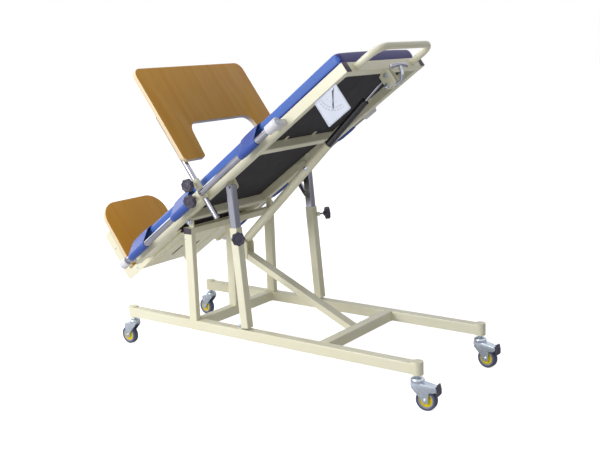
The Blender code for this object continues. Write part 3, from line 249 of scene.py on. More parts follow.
# Finishes
def finish(name, roughness, metallic=0.0, **plain):
    """A material with its Principled shader's plain values set."""
    material = bpy.data.materials.new(name)
    material.use_nodes = True
    shader = material.node_tree.nodes["Principled BSDF"]
    shader.inputs["Roughness"].default_value = roughness
    shader.inputs["Metallic"].default_value = metallic
    for label, value in plain.items():
        shader.inputs[label.replace("_", " ")].default_value = value
    return material, material.node_tree, shader


def use_group(tree, name, **values):
    """A group placed in a material with its own values."""
    node = tree.nodes.new("ShaderNodeGroup")
    node.node_tree = GROUPS[name]
    node.inputs["Stretch"].default_value = (1.0, 1.0, 1.0)
    for label, value in values.items():
        node.inputs[label.replace("_", " ")].default_value = value
    return node


def coated(name, colour, second, roughness, spread, tone_scale, amount, grain, metallic=0.0, dust=0.0,
           **plain):
    """A finish with uneven tone, a fine grain and a roughness that varies with the tone."""
    material, tree, shader = finish(name, roughness, metallic, **plain)
    tone = use_group(tree, "tone", Colour=colour, Second_colour=second, Scale=tone_scale, Amount=amount)
    fine = use_group(tree, "grain", Scale=grain[0], Strength=grain[1], Distance=grain[2])
    result = tone.outputs["Colour"]
    rough = limits_node(tree, tone.outputs["Mask"], 0.0, 1.0, roughness - spread, roughness + spread)
    if dust:
        settled = use_group(tree, "dust", Scale=9.0, Amount=dust)
        result = colour_mix(tree, settled.outputs["Mask"], result, srgb(196, 190, 178))
        rough = math_node(tree, "ADD", rough, math_node(tree, "MULTIPLY", settled.outputs["Mask"], 0.35))
    tree.links.new(result, shader.inputs["Base Color"])
    tree.links.new(rough, shader.inputs["Roughness"])
    tree.links.new(fine.outputs["Normal"], shader.inputs["Normal"])
    return material


def wood_finish(name, light, dark, pore, stretch, slope, roughness):
    material, tree, shader = finish(name, roughness, Coat_Weight=0.08, Coat_Roughness=0.25,
                                    Specular_IOR_Level=0.35)
    veneer = use_group(tree, "veneer", Light=light, Dark=dark, Pore=pore, Slope=slope, Stretch=stretch)
    tree.links.new(veneer.outputs["Colour"], shader.inputs["Base Color"])
    tree.links.new(veneer.outputs["Normal"], shader.inputs["Normal"])
    tree.links.new(limits_node(tree, veneer.outputs["Mask"], 0.0, 1.0, roughness - 0.06, roughness + 0.08),
                   shader.inputs["Roughness"])
    return material


def vinyl_finish(name, colour, second):
    material, tree, shader = finish(name, 0.42, Sheen_Weight=0.10, Sheen_Roughness=0.5,
                                    Specular_IOR_Level=0.45)
    tone = use_group(tree, "tone", Colour=colour, Second_colour=second, Scale=5.0, Amount=0.5)
    cells = use_group(tree, "cells", Scale=620.0, Strength=0.22, Distance=0.0005)
    tree.links.new(tone.outputs["Colour"], shader.inputs["Base Color"])
    tree.links.new(cells.outputs["Normal"], shader.inputs["Normal"])
    tree.links.new(limits_node(tree, cells.outputs["Mask"], 0.0, 1.0, 0.38, 0.52), shader.inputs["Roughness"])
    return material


def strap_finish():
    """Vinyl with a dashed line of stitches near both edges, on the strap's own map in metres."""
    material = vinyl_finish("strap_vinyl", srgb(50, 84, 170), srgb(40, 70, 154))
    tree = material.node_tree
    shader = tree.nodes["Principled BSDF"]
    flat_map = tree.nodes.new("ShaderNodeUVMap")
    flat_map.uv_map = "strap_map"
    split = tree.nodes.new("ShaderNodeSeparateXYZ")
    tree.links.new(flat_map.outputs[0], split.inputs[0])
    from_seam = math_node(tree, "SUBTRACT", split.outputs["X"], 0.007)
    near_line = math_node(tree, "LESS_THAN", math_node(tree, "ABSOLUTE", from_seam, 0.0), 0.0006)
    stitches = math_node(tree, "MULTIPLY", split.outputs["Y"], 220.0)
    dash = math_node(tree, "LESS_THAN", math_node(tree, "FRACT", stitches, 0.0), 0.62)
    stitch = math_node(tree, "MULTIPLY", near_line, dash)
    old = shader.inputs["Base Color"].links[0].from_socket
    tree.links.new(colour_mix(tree, stitch, old, srgb(92, 126, 204)), shader.inputs["Base Color"])
    return material


CREAM = coated("cream_paint", srgb(240, 237, 213), srgb(234, 229, 200), 0.34, 0.05, 3.0, 0.7,
               (900.0, 0.10, 0.0003), dust=0.10, Coat_Weight=0.2, Coat_Roughness=0.12)
# The chrome's grey is set darker than bright chrome, partly the metal's tint and partly painted reflection of
# darker surroundings.
CHROME = coated("chrome", srgb(176, 176, 188), srgb(158, 160, 174), 0.12, 0.035, 14.0, 0.8,
                (500.0, 0.03, 0.0002), 1.0)
ZINC = coated("zinc_steel", srgb(208, 216, 228), srgb(178, 188, 204), 0.32, 0.08, 60.0, 0.9,
              (1400.0, 0.10, 0.0002), 1.0)
BLACK = coated("black_plastic", srgb(62, 57, 76), srgb(74, 69, 90), 0.46, 0.08, 30.0, 0.6,
               (2200.0, 0.20, 0.0003), dust=0.10)
PLUG = coated("plug_plastic", srgb(66, 56, 72), srgb(80, 70, 84), 0.55, 0.08, 40.0, 0.6,
              (1800.0, 0.20, 0.0003))
BOARD = coated("dark_board", srgb(42, 41, 48), srgb(52, 51, 59), 0.78, 0.08, 18.0, 0.8, (700.0, 0.55, 0.0008))
# A dark, fuzzy finish for the straps' inner faces, which shows where a strap lifts off the cushion.
STRAP_INNER_DARK = coated("strap_inner_dark", srgb(24, 22, 34), srgb(38, 35, 52), 0.92, 0.05, 120.0, 0.8,
                (2600.0, 0.9, 0.0012), Sheen_Weight=0.3)
WHITE = coated("white_plastic", srgb(226, 226, 234), srgb(216, 216, 226), 0.42, 0.06, 22.0, 0.7,
               (1500.0, 0.10, 0.0003))
TYRE = coated("grey_rubber", srgb(84, 90, 118), srgb(70, 75, 100), 0.62, 0.08, 40.0, 0.8,
              (1600.0, 0.25, 0.0003), dust=0.35)
RIM = coated("grey_rim", srgb(150, 152, 166), srgb(136, 138, 152), 0.55, 0.06, 40.0, 0.7,
             (1600.0, 0.15, 0.0003), dust=0.1)
HUB = coated("yellow_hub", srgb(240, 222, 30), srgb(226, 204, 26), 0.40, 0.06, 50.0, 0.7,
             (1500.0, 0.10, 0.0003), dust=0.1)
STRUT = coated("strut_black", srgb(36, 36, 42), srgb(46, 46, 54), 0.26, 0.06, 20.0, 0.6,
               (900.0, 0.04, 0.0002), Coat_Weight=0.4)
DIAL = coated("gauge_plate", srgb(212, 217, 232), srgb(204, 210, 226), 0.36, 0.05, 16.0, 0.6,
              (900.0, 0.04, 0.0002))
INK = coated("dial_print", srgb(158, 163, 184), srgb(146, 152, 176), 0.5, 0.05, 60.0, 0.6,
             (900.0, 0.04, 0.0002))
VINYL = vinyl_finish("blue_vinyl", srgb(66, 107, 190), srgb(54, 92, 178))
# A darker copy of the blue vinyl for the cushion's end faces and underside: painted shade.
VINYL_PAINTED_SHADE = vinyl_finish("blue_vinyl_painted_shade", srgb(34, 30, 122), srgb(27, 24, 104))
STRAP = strap_finish()
VENEER = wood_finish("oiled_wood", srgb(214, 156, 50), srgb(206, 143, 38), srgb(182, 116, 28),
                     (3.0, 40.0, 2.2), TILT, 0.42)
EDGE = wood_finish("edge_band", srgb(240, 220, 188), srgb(230, 206, 168), srgb(214, 186, 146),
                   (60.0, 6.0, 2.0), TILT, 0.50)

NODE_FINISHES = {"cream_paint": CREAM, "chrome": CHROME, "zinc_steel": ZINC, "black_plastic": BLACK,
                 "oiled_wood": VENEER,
                 "dark_board": BOARD, "blue_vinyl": VINYL, "strap_webbing": STRAP, "white_plastic": WHITE,
                 "grey_rubber": TYRE, "yellow_hub": HUB, "strut_black": STRUT, "gauge_plate": DIAL}
for row in frame["record"]["subparts"]:
    shown = nodes[row["node"]]
    shown.data.materials.clear()
    shown.data.materials.append(NODE_FINISHES[row["material_slot"]])


# Shapes that the pieces are made of
def bent(corners, radii, steps=8):
    """The points of a line whose corners are rounded to the given radii."""
    line = []
    for i, (corner, radius) in enumerate(zip(corners, radii)):
        here = Vector(corner)
        if not radius:
            line.append(here)
            continue
        back = (Vector(corners[i - 1]) - here).normalized()
        ahead = (Vector(corners[(i + 1) % len(corners)]) - here).normalized()
        half = back.angle(ahead) / 2
        centre = here + (back + ahead).normalized() * radius / math.sin(half)
        first = here + back * radius / math.tan(half) - centre
        last = here + ahead * radius / math.tan(half) - centre
        axis = first.cross(last).normalized()
        line += [centre + Matrix.Rotation(first.angle(last) * k / steps, 3, axis) @ first
                 for k in range(steps + 1)]
    return line


def moved(bm, kept, place):
    """Move the vertices that aren't among those kept."""
    bmesh.ops.transform(bm, matrix=place, verts=[v for v in bm.verts if v not in kept])


def swept(bm, line, radius, sides=16, closed=False):
    """A round bar along a line, made of a ring that is extruded and turned from point to point."""
    last = len(line) - 1
    aims = []
    for i in range(last + 1):
        before = line[i - 1] if closed or i else line[0]
        after = line[(i + 1) % (last + 1)] if closed or i < last else line[last]
        aims.append((after - before).normalized())
    turn = aims[0].to_track_quat("Z", "Y")
    spots = []
    for i, spot in enumerate(line):
        if i:
            turn = aims[i - 1].rotation_difference(aims[i]) @ turn
        spots.append(Matrix.Translation(spot) @ turn.to_matrix().to_4x4())
    ring = bmesh.ops.create_circle(bm, segments=sides, radius=radius)["verts"]
    edges = list({e for v in ring for e in v.link_edges})
    first = list(edges)
    bmesh.ops.transform(bm, matrix=spots[0], verts=ring)
    for before, after in zip(spots, spots[1:]):
        grown = bmesh.ops.extrude_edge_only(bm, edges=edges)["geom"]
        ring = {g for g in grown if isinstance(g, bmesh.types.BMVert)}
        edges = [g for g in grown if isinstance(g, bmesh.types.BMEdge) and set(g.verts) <= ring]
        bmesh.ops.transform(bm, matrix=after @ before.inverted(), verts=list(ring))
    if closed:
        bmesh.ops.bridge_loops(bm, edges=first + edges)
    else:
        for rim in (first, edges):
            bmesh.ops.contextual_create(bm, geom=rim)


def turned(bm, profile, steps=32):
    """A form turned about Z from a line of radius and height."""
    line = [bm.verts.new((radius, 0.0, height)) for radius, height in profile]
    edges = [bm.edges.new(pair) for pair in zip(line, line[1:])]
    bmesh.ops.spin(bm, geom=line + edges, cent=(0, 0, 0), axis=(0, 0, 1), angle=2 * math.pi, steps=steps,
                   use_merge=True)


def plate(bm, corners, radii, thick, edge=0.001, steps=8, segments=2):
    """A plate in X and Y from height 0, with rounded corners and softened edges."""
    old = set(bm.verts)
    verts = [bm.verts.new((x, y, 0.0)) for x, y in corners]
    bm.faces.new(verts)
    for i, (vert, radius) in enumerate(zip(verts, radii)):
        if radius:
            here = Vector(corners[i])
            half = (Vector(corners[i - 1]) - here).angle(Vector(corners[(i + 1) % len(corners)]) - here) / 2
            bmesh.ops.bevel(bm, geom=[vert], offset=radius / math.tan(half), offset_type="ABSOLUTE",
                            segments=steps, profile=0.5, affect="VERTICES", material=-1)
    flat = [f for f in bm.faces if not old & set(f.verts)]
    grown = bmesh.ops.extrude_face_region(bm, geom=flat)["geom"]
    bmesh.ops.translate(bm, vec=(0, 0, thick), verts=[g for g in grown if isinstance(g, bmesh.types.BMVert)])
    bmesh.ops.recalc_face_normals(bm, faces=[f for f in bm.faces if not old & set(f.verts)])
    if edge:
        rims = [e for e in bm.edges if not old & set(e.verts) and len(e.link_faces) == 2
                and e.calc_face_angle() > 1.0
                and abs(e.verts[0].co.z - e.verts[1].co.z) < thick / 2]
        bmesh.ops.bevel(bm, geom=rims, offset=edge, segments=segments, profile=0.5, affect="EDGES",
                        material=-1)


def outward(point, direction):
    """A place at a point with Z along a direction."""
    return Matrix.Translation(point) @ Vector(direction).to_track_quat("Z", "Y").to_matrix().to_4x4()


def hex_bolt(bm, place, across=0.013, tall=0.005):
    """A bolt head on a washer, with its corners softened."""
    kept = set(bm.verts)
    seat = 0.001
    turned(bm, [(0.0, 0.0), (across * 0.74, 0.0), (across * 0.74, 0.0008), (across * 0.70, seat),
                (0.0, seat)], 24)
    head = bmesh.ops.create_cone(bm, cap_ends=True, segments=6, radius1=across / 1.732,
                                 radius2=across / 1.732, depth=tall)
    bmesh.ops.translate(bm, vec=(0, 0, seat + tall / 2), verts=head["verts"])
    edges = list({e for v in head["verts"] for e in v.link_edges})
    bmesh.ops.bevel(bm, geom=edges, offset=across * 0.05, segments=2, profile=0.5, affect="EDGES",
                    material=-1)
    moved(bm, kept, place)


def dome_screw(bm, place, radius=0.004, tall=0.002):
    """A round screw head with a crossed recess."""
    kept = set(bm.verts)
    turned(bm, [(radius * math.cos(a), tall * math.sin(a)) for a in [math.pi / 12 * k for k in range(7)]], 20)
    for turn in (0.0, math.pi / 2):
        lobe = set(bm.verts)
        bmesh.ops.create_cube(bm, size=1.0)
        moved(bm, lobe, Matrix.Rotation(turn, 4, "Z") @ Matrix.Translation((0, 0, tall)) @
              Matrix.Diagonal((radius * 1.1, radius * 0.22, tall * 0.12, 1.0)))
    moved(bm, kept, place)


def finished(name, bm, place, body, slot, *finishes, replaces=(), smooth=38.0):
    """A finished piece: its place applied, its faces turned out, painted, and riding on its body."""
    bmesh.ops.transform(bm, matrix=place, verts=bm.verts)
    bmesh.ops.remove_doubles(bm, verts=bm.verts, dist=0.000005)
    bmesh.ops.recalc_face_normals(bm, faces=bm.faces)
    mesh = bpy.data.meshes.new(name)
    bm.to_mesh(mesh)
    bm.free()
    for material in finishes:
        mesh.materials.append(material)
    mesh.shade_smooth()
    mesh.set_sharp_from_angle(angle=math.radians(smooth))
    piece = bpy.data.objects.new(name, mesh)
    bpy.context.scene.collection.objects.link(piece)
    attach(piece, body)
    if replaces:
        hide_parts(*replaces)
    return piece


def paint_since(bm, painted, index):
    """Give the faces that aren't among those painted another finish."""
    for face in bm.faces:
        if face not in painted:
            face.material_index = index


# The camera stands where the photographer stood, and the light is soft and comes mostly from that side
def camera_and_light():
    camera = bpy.data.objects.new("camera", bpy.data.cameras.new("camera"))
    camera.data.lens = 54.503
    camera.data.sensor_width = 36.0
    right, down, ahead = (0.807783, 0.5883523, -0.0364437), (0.0856434, -0.178303, -0.9802414), (-0.5832254,
                                                                                                 0.7887012,
                                                                                                 -0.1944186)
    turn = Matrix((right, [-c for c in down], [-c for c in ahead])).transposed()
    camera.matrix_world = Matrix.Translation((2.201274, -2.818150, 1.231597)) @ turn.to_4x4()
    bpy.context.scene.collection.objects.link(camera)
    bpy.context.scene.camera = camera
    bpy.context.scene.view_settings.view_transform = "Standard"

    for name, place, aim, size, power in (("key_light", (-1.6, -4.4, 2.2), (0.0, 0.0, 0.6), 2.6, 150.0),
                                          ("top_light", (-1.4, -0.8, 4.4), (0.0, 0.0, 0.5), 3.0, 50.0),
                                          ("side_light", (-3.6, 0.4, 1.4), (0.0, 0.0, 0.6), 2.0, 20.0)):
        lamp = bpy.data.objects.new(name, bpy.data.lights.new(name, "AREA"))
        lamp.data.size = size
        lamp.data.energy = power
        lamp.location = place
        lamp.rotation_euler = (Vector(aim) - Vector(place)).to_track_quat("-Z", "Y").to_euler()
        bpy.context.scene.collection.objects.link(lamp)

    world = bpy.data.worlds.new("studio")
    bpy.context.scene.world = world
    world.use_nodes = True
    tree = world.node_tree
    rays = tree.nodes.new("ShaderNodeLightPath")
    seen = math_node(tree, "MAXIMUM", rays.outputs["Is Camera Ray"], rays.outputs["Is Transmission Ray"])
    seen = math_node(tree, "MAXIMUM", seen, rays.outputs["Is Glossy Ray"])
    tree.nodes["Background"].inputs["Color"].default_value = (1.0, 1.0, 1.0, 1.0)
    tree.links.new(limits_node(tree, seen, 0.0, 1.0, 0.30, 1.0), tree.nodes["Background"].inputs["Strength"])


def floor():
    bm = bmesh.new()
    bmesh.ops.create_grid(bm, x_segments=1, y_segments=1, size=30.0)
    mesh = bpy.data.meshes.new("floor")
    bm.to_mesh(mesh)
    bm.free()
    ground = bpy.data.objects.new("floor", mesh)
    ground.location.z = -0.0003
    bpy.context.scene.collection.objects.link(ground)
    material, tree, shader = finish("floor_white", 0.9)
    shader.inputs["Base Color"].default_value = (0.80, 0.80, 0.80, 1.0)
    shader.inputs["Emission Color"].default_value = (1.0, 1.0, 1.0, 1.0)
    rays = tree.nodes.new("ShaderNodeLightPath")
    tree.links.new(math_node(tree, "MULTIPLY", rays.outputs["Is Camera Ray"], 0.80),
                   shader.inputs["Emission Strength"])
    mesh.materials.append(material)


# The bed's pieces
def mattress_cushion():
    """The upholstered mattress: a crowned form with rounded edges, blown up by a short cloth simulation."""
    foot, head, half, low, high = -0.335, 0.978, 0.261, 0.0405, 0.0905
    inset = 0.005
    bm = bmesh.new()
    plate(bm, [(foot + inset, -half + inset), (head - inset, -half + inset), (head - inset, half - inset),
               (foot + inset, half - inset)],
          [0.022] * 4, high - low - 0.002, 0.013, 6, 4)
    bmesh.ops.transform(bm, matrix=Matrix.Translation((0, 0, low)), verts=bm.verts)
    mesh = bpy.data.meshes.new("mattress_cushion")
    bm.to_mesh(mesh)
    bm.free()
    cushion = bpy.data.objects.new("mattress_cushion", mesh)
    bpy.context.scene.collection.objects.link(cushion)
    remesh = cushion.modifiers.new("even", "REMESH")
    remesh.mode = "VOXEL"
    remesh.voxel_size = 0.0085
    remesh.use_smooth_shade = True
    even = applied_copy(cushion)
    cushion.modifiers.clear()
    cushion.data = even
    rest = [v.co.copy() for v in even.vertices]
    pinned = cushion.vertex_groups.new(name="glued")
    pinned.add([v.index for v in even.vertices if v.co.z < low + 0.004], 1.0, "REPLACE")
    cloth = cushion.modifiers.new("stuffing", "CLOTH")
    cloth.settings.quality = 5
    cloth.settings.mass = 0.4
    cloth.settings.tension_stiffness = 25.0
    cloth.settings.compression_stiffness = 10.0
    cloth.settings.bending_stiffness = 2.0
    cloth.settings.use_pressure = True
    cloth.settings.uniform_pressure_force = 4.0
    cloth.settings.vertex_group_mass = "glued"
    cloth.settings.effector_weights.gravity = 0.0
    for number in range(1, 21):
        bpy.context.scene.frame_set(number)
    soft = applied_copy(cushion)
    cushion.modifiers.clear()
    cushion.data = soft
    bpy.context.scene.frame_set(1)
    for vert, start in zip(soft.vertices, rest):
        step = vert.co - start
        if step.length > MOST_SWELL:
            step *= MOST_SWELL / step.length
        vert.co = start + step
    fit_cushion(cushion.data, foot, head, half, low)
    cushion.data.materials.clear()
    cushion.data.materials.append(VINYL)
    cushion.data.materials.append(VINYL_PAINTED_SHADE)
    # Faces that look along the bed or downwards get the darker vinyl: painted shade on the ends and underside.
    for face in cushion.data.polygons:
        face.material_index = 1 if abs(face.normal.x) > 0.62 or face.normal.z < -0.5 else 0
    cushion.data.transform(BED)
    cushion.data.shade_smooth()
    smooth = cushion.modifiers.new("smooth", "SUBSURF")
    smooth.levels = 1
    smooth.render_levels = 1
    final = applied_copy(cushion)
    cushion.modifiers.clear()
    cushion.data = final
    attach(cushion, "bed")
    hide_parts("mattress")
    return cushion


def fit_cushion(mesh, foot, head, half, low):
    """Crown the top, draw the sides in between the corners, and keep the cushion in its solid's space."""
    for vert in mesh.vertices:
        along = (vert.co.x - (foot + head) / 2) / ((head - foot) / 2)
        across = vert.co.y / half
        share = min(max((vert.co.z - low) / 0.045, 0.0), 1.0)
        vert.co.z += 0.0085 * share * (1 - min(abs(along), 1.0) ** 14) * (1 - min(abs(across), 1.0) ** 2)
        corner = min(max((vert.co.x - 0.900) / (head - 0.900), 0.0), 1.0) ** 2 * min(abs(across), 1.0) ** 8
        vert.co.z -= 0.006 * share * corner
        vert.co.y -= 0.0012 * across * (1 - min(abs(along), 1.0) ** 8)
        vert.co.z = min(max(vert.co.z, low), low + 0.0590)
        vert.co.y = min(max(vert.co.y, -half), half)
        vert.co.x = min(max(vert.co.x, foot), head)


def applied_copy(piece):
    """A piece's mesh as its modifiers leave it."""
    bpy.context.view_layer.update()
    graph = bpy.context.evaluated_depsgraph_get()
    return bpy.data.meshes.new_from_object(piece.evaluated_get(graph))


def strap_line(cushion_top):
    """A strap's line across the bed, from under one side bar over the cushion to under the other."""
    reach, edge = BAR_RADIUS + 0.0021, 0.264
    points = []
    count = 16
    for k in range(count + 1):
        y = 0.975 * edge * k / count
        points.append((y, max(cushion_top(y), cushion_top(max(y - 0.012, 0.0)) - 0.001) + 0.0024))
    shoulder = points[-1]
    points.append((edge + 0.001, shoulder[1] - 0.004))
    last_point = Vector(points[-1])
    last = last_point - Vector((BAR_Y, BAR_T))
    start = math.atan2(last.y, last.x) - math.acos(reach / last.length)
    end = Vector((BAR_Y + reach * math.cos(start), BAR_T + reach * math.sin(start)))
    for k in range(1, 4):
        spot = last_point.lerp(end, k / 4)
        points.append((spot.x, spot.y + 0.0012 * math.sin(math.pi * k / 4)))
    for k in range(21):
        angle = start - math.radians(210.0) * k / 20
        points.append((BAR_Y + reach * math.cos(angle), BAR_T + reach * math.sin(angle)))
    return [(-y, t) for y, t in reversed(points[1:])] + points


def straps(cushion):
    """Three padded straps with a hemmed edge, blue outside and dark inside."""
    tree = BVHTree.FromObject(cushion, bpy.context.evaluated_depsgraph_get())
    up = (BED.to_3x3() @ Vector((0, 0, 1))).normalized()
    hems = [0.0, 0.0016, 0.0050, 0.0066, 0.0074, 0.0082, 0.0130, 0.0240]
    rises = [-0.0010, 0.0000, 0.0000, -0.0006, -0.0009, -0.0005, 0.0009, 0.0014]
    for label, (foot, head) in {"foot": (-0.304, -0.189), "middle": (0.008, 0.117),
                                "head": (0.448, 0.547)}.items():
        def cushion_top(y):
            tops = []
            for s in (foot, (foot + head) / 2, head):
                for side in (-1, 1):
                    hit = tree.ray_cast(BED @ Vector((s, side * y, 0.2)), -up)[0]
                    tops.append((BED.inverted() @ hit).z if hit else 0.07)
            return max(tops)

        line = strap_line(cushion_top)
        wide = head - foot
        across = hems + [wide / 2] + [wide - h for h in reversed(hems)]
        lift = rises + [0.0016] + list(reversed(rises))
        bm = bmesh.new()
        bmesh.ops.create_grid(bm, x_segments=len(across) - 1, y_segments=len(line) - 1, size=0.5)
        bm.verts.ensure_lookup_table()
        flat_map = bm.loops.layers.uv.new("strap_map")
        lengths = [0.0]
        for before, after in zip(line, line[1:]):
            lengths.append(lengths[-1] + (Vector(after) - Vector(before)).length)
        spots = {}
        for vert in bm.verts:
            i = round((vert.co.x + 0.5) * (len(across) - 1))
            j = round((vert.co.y + 0.5) * (len(line) - 1))
            spots[vert] = (i, j)
        for vert, (i, j) in spots.items():
            before, after = Vector(line[max(j - 1, 0)]), Vector(line[min(j + 1, len(line) - 1)])
            out = (after - before).normalized()
            normal = Vector((-out.y, out.x))
            y, t = Vector(line[j]) + normal * lift[i]
            vert.co = (foot + across[i], y, t)
        for face in bm.faces:
            for loop in face.loops:
                i, j = spots[loop.vert]
                loop[flat_map].uv = (min(across[i], wide - across[i]), lengths[j])
        bmesh.ops.recalc_face_normals(bm, faces=bm.faces)
        if sum(f.normal.z for f in bm.faces if abs(f.calc_center_median().y) < 0.2) < 0:
            bmesh.ops.reverse_faces(bm, faces=bm.faces)
        bmesh.ops.transform(bm, matrix=BED, verts=bm.verts)
        mesh = bpy.data.meshes.new(f"strap_{label}_padded")
        bm.to_mesh(mesh)
        bm.free()
        mesh.materials.append(STRAP)
        mesh.materials.append(STRAP_INNER_DARK)
        mesh.shade_smooth()
        piece = bpy.data.objects.new(f"strap_{label}_padded", mesh)
        bpy.context.scene.collection.objects.link(piece)
        wall = piece.modifiers.new("thickness", "SOLIDIFY")
        wall.thickness = 0.0030
        wall.offset = -0.6
        wall.material_offset = 1
        wall.material_offset_rim = 0
        soft = piece.modifiers.new("soft_edges", "SUBSURF")
        soft.levels = 1
        soft.render_levels = 1
        final = applied_copy(piece)
        piece.modifiers.clear()
        piece.data = final
        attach(piece, "bed")
        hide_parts(f"strap_{label}")


def handle():
    """The push handle, bent from one tube, with a weld bead at each end."""
    bm = bmesh.new()
    start, end, half, middle = 0.9751, 1.0838, 0.190, 0.020
    swept(bm, bent([(start, -half, middle), (end, -half, middle), (end, half, middle), (start, half, middle)],
                   [0, 0.060, 0.060, 0], 14), 0.0125, 28)
    for side in SIDES.values():
        ring = [Vector((start + 0.0010, side * half + 0.0131 * math.cos(a), middle + 0.0131 * math.sin(a)))
                for a in [math.pi / 14 * k for k in range(28)]]
        swept(bm, ring, 0.0016, 8, True)
    finished("push_handle_tube", bm, BED, "bed", "cream_paint", CREAM, replaces=["push_handle"], smooth=50)


STAND = Matrix(((0, 0, 1, 0), (1, 0, 0, 0), (0, 1, 0, 0), (0, 0, 0, 1)))


def wooden_panel(name, node, body, corners, radii, face, steps):
    """A veneered board with an edge band, standing across the bed."""
    bm = bmesh.new()
    plate(bm, corners, radii, BOARD_THICK, 0.0013, steps, 3)
    bm.normal_update()
    for f in bm.faces:
        f.material_index = 0 if abs(f.normal.z) > 0.95 else 1
    finished(name, bm, BED @ Matrix.Translation((face - BOARD_THICK, 0, 0)) @ STAND, body, "oiled_wood",
             VENEER, EDGE, replaces=[node])


def panels():
    half, low, high, notch = 0.323, 0.157, 0.583, 0.317
    wooden_panel("tray_panel", "tray_board", "tray",
                 [(-half, low), (-0.203, low), (-0.190, notch), (0.190, notch), (0.203, low), (half, low),
                  (half, high), (-half, high)],
                 [0.020, 0.014, 0.048, 0.048, 0.014, 0.020, 0.037, 0.037], 0.218, 12)
    half, low, high = 0.183, 0.0403, 0.352
    wooden_panel("foot_panel", "footboard_panel", "footboard",
                 [(-half, low), (half, low), (half, high), (-half, high)],
                 [0.012, 0.012, 0.088, 0.088], -0.465, 16)


def knob(name, node, tip, aim, stud, place, body):
    """A lobed hand knob with a dished face and a cap, on a cone and a threaded stud."""
    bm = bmesh.new()
    radius, lobe, lobes = 0.0262, 0.0013, 8
    ring = bmesh.ops.create_circle(bm, cap_ends=True, segments=96, radius=radius)["verts"]
    for vert in ring:
        angle = math.atan2(vert.co.y, vert.co.x)
        size = 1 + lobe / radius * (math.cos(lobes * angle) - 1)
        vert.co.x *= size
        vert.co.y *= size
    grown = bmesh.ops.extrude_face_region(bm, geom=list(bm.faces))["geom"]
    bmesh.ops.translate(bm, vec=(0, 0, 0.020), verts=[g for g in grown if isinstance(g, bmesh.types.BMVert)])
    bmesh.ops.recalc_face_normals(bm, faces=bm.faces)
    rims = [e for e in bm.edges if len(e.link_faces) == 2 and e.calc_face_angle() > 1.0]
    bmesh.ops.bevel(bm, geom=rims, offset=0.0032, segments=4, profile=0.5, affect="EDGES", material=-1)
    top = max(bm.faces, key=lambda f: f.calc_center_median().z + (f.calc_area() > 0.0005))
    for ring_radius, rise in ((0.0184, 0.0), (0.0174, -0.0008), (0.0118, -0.0008), (0.0110, 0.0004),
                              (0.0030, 0.0006)):
        bmesh.ops.inset_region(bm, faces=[top], thickness=0.0003)
        for vert in top.verts:
            angle = math.atan2(vert.co.y, vert.co.x)
            vert.co.x, vert.co.y = ring_radius * math.cos(angle), ring_radius * math.sin(angle)
            vert.co.z += rise
    low = stud + 0.007
    moved(bm, set(), Matrix.Translation((0, 0, low)))
    turned(bm, [(0.0, low + 0.001), (0.0150, low + 0.001), (0.0142, low - 0.0015), (0.0105, low - 0.0035),
                (0.0088, low - 0.0065),
                (0.0, low - 0.0065)], 32)
    painted = set(bm.faces)
    thread = []
    height = 0.0
    while height < stud:
        thread += [(0.0040, height), (0.0036, height + 0.0006)]
        height += 0.0012
    turned(bm, [(0.0, 0.0)] + thread + [(0.0, stud + 0.001)], 16)
    paint_since(bm, painted, 1)
    finished(name, bm, place @ outward(tip, aim), body, "black_plastic", BLACK, CHROME, replaces=[node])


def knobs():
    for label, side in SIDES.items():
        corner = Vector((0.0286, side * 0.246, 0.349))
        out = Vector((1.0, side, 0.0)).normalized()
        knob(f"post_knob_{label}_grip", f"post_knob_{label}", corner + out * 0.0206, out, 0.0294, POST,
             f"post_knob_{label}_body")
        knob(f"tray_rod_knob_{label}_grip", f"tray_rod_knob_{label}", (0.1835, side * 0.3013, 0.068),
             (0, side, 0), 0.0247,
             BED, f"tray_rod_knob_{label}_body")
        dip = math.radians(14.0)
        aim = Vector((0.0, side * math.cos(dip), -math.sin(dip)))
        middle = Vector((0.160, side * BAR_Y, BAR_T))
        knob(f"side_bar_knob_{label}_grip", f"side_bar_knob_{label}", middle + aim * 0.0128, aim, 0.0067, BED,
             f"side_bar_knob_{label}_body")


def bar_holders():
    """White moulded holders: a sleeve with a closed outer end and a screw, on an arm to the rail."""
    for label, side in SIDES.items():
        for end, (foot, head) in {"foot": (-0.369, -0.329), "head": (0.612, 0.670)}.items():
            out = 1.0 if end == "head" else -1.0
            inner, outer = (foot, head) if end == "head" else (head, foot)
            length = abs(outer - inner)
            bm = bmesh.new()
            turned(bm, [(0.0129, 0.0), (0.0172, 0.0), (0.0188, 0.0012), (0.0190, 0.0030),
                        (0.0190, length - 0.016),
                        (0.0186, length - 0.0145), (0.0186, length - 0.0130), (0.0190, length - 0.0115),
                        (0.0190, length - 0.005),
                        (0.0182, length - 0.0022), (0.0160, length - 0.0004), (0.0120, length),
                        (0.0116, length - 0.0012),
                        (0.0, length - 0.0012)], 40)
            painted = set(bm.faces)
            dome_screw(bm, Matrix.Translation((0, 0, length - 0.0014)), 0.0055, 0.0024)
            paint_since(bm, painted, 1)
            moved(bm, set(), outward((inner, side * BAR_Y, BAR_T), (out, 0, 0)))
            kept = set(bm.verts)
            low, high = (inner + out * 0.004, outer - out * 0.004) if end == "head" else (-0.345,
                                                                                          inner - 0.004)
            plate(bm, [(min(low, high), 0.0), (max(low, high), 0.0), (max(low, high), 0.034),
                       (min(low, high), 0.034)],
                  [0.003, 0.003, 0.0, 0.0], 0.020, 0.0016, 3)
            turn = Matrix.Translation((0, side * 0.2673, 0.0106)) @ Matrix.Diagonal((1, side, 1, 1))
            moved(bm, kept, turn)
            for s in (min(low, high) + 0.008, max(low, high) - 0.008):
                painted = set(bm.faces)
                dome_screw(bm, outward((s, side * 0.288, 0.0306), (0, 0, 1)), 0.0036, 0.0016)
                paint_since(bm, painted, 1)
            finished(f"holder_{label}_{end}", bm, BED, "bed", "white_plastic", WHITE, ZINC,
                     replaces=[f"bar_holder_{label}_{end}"])


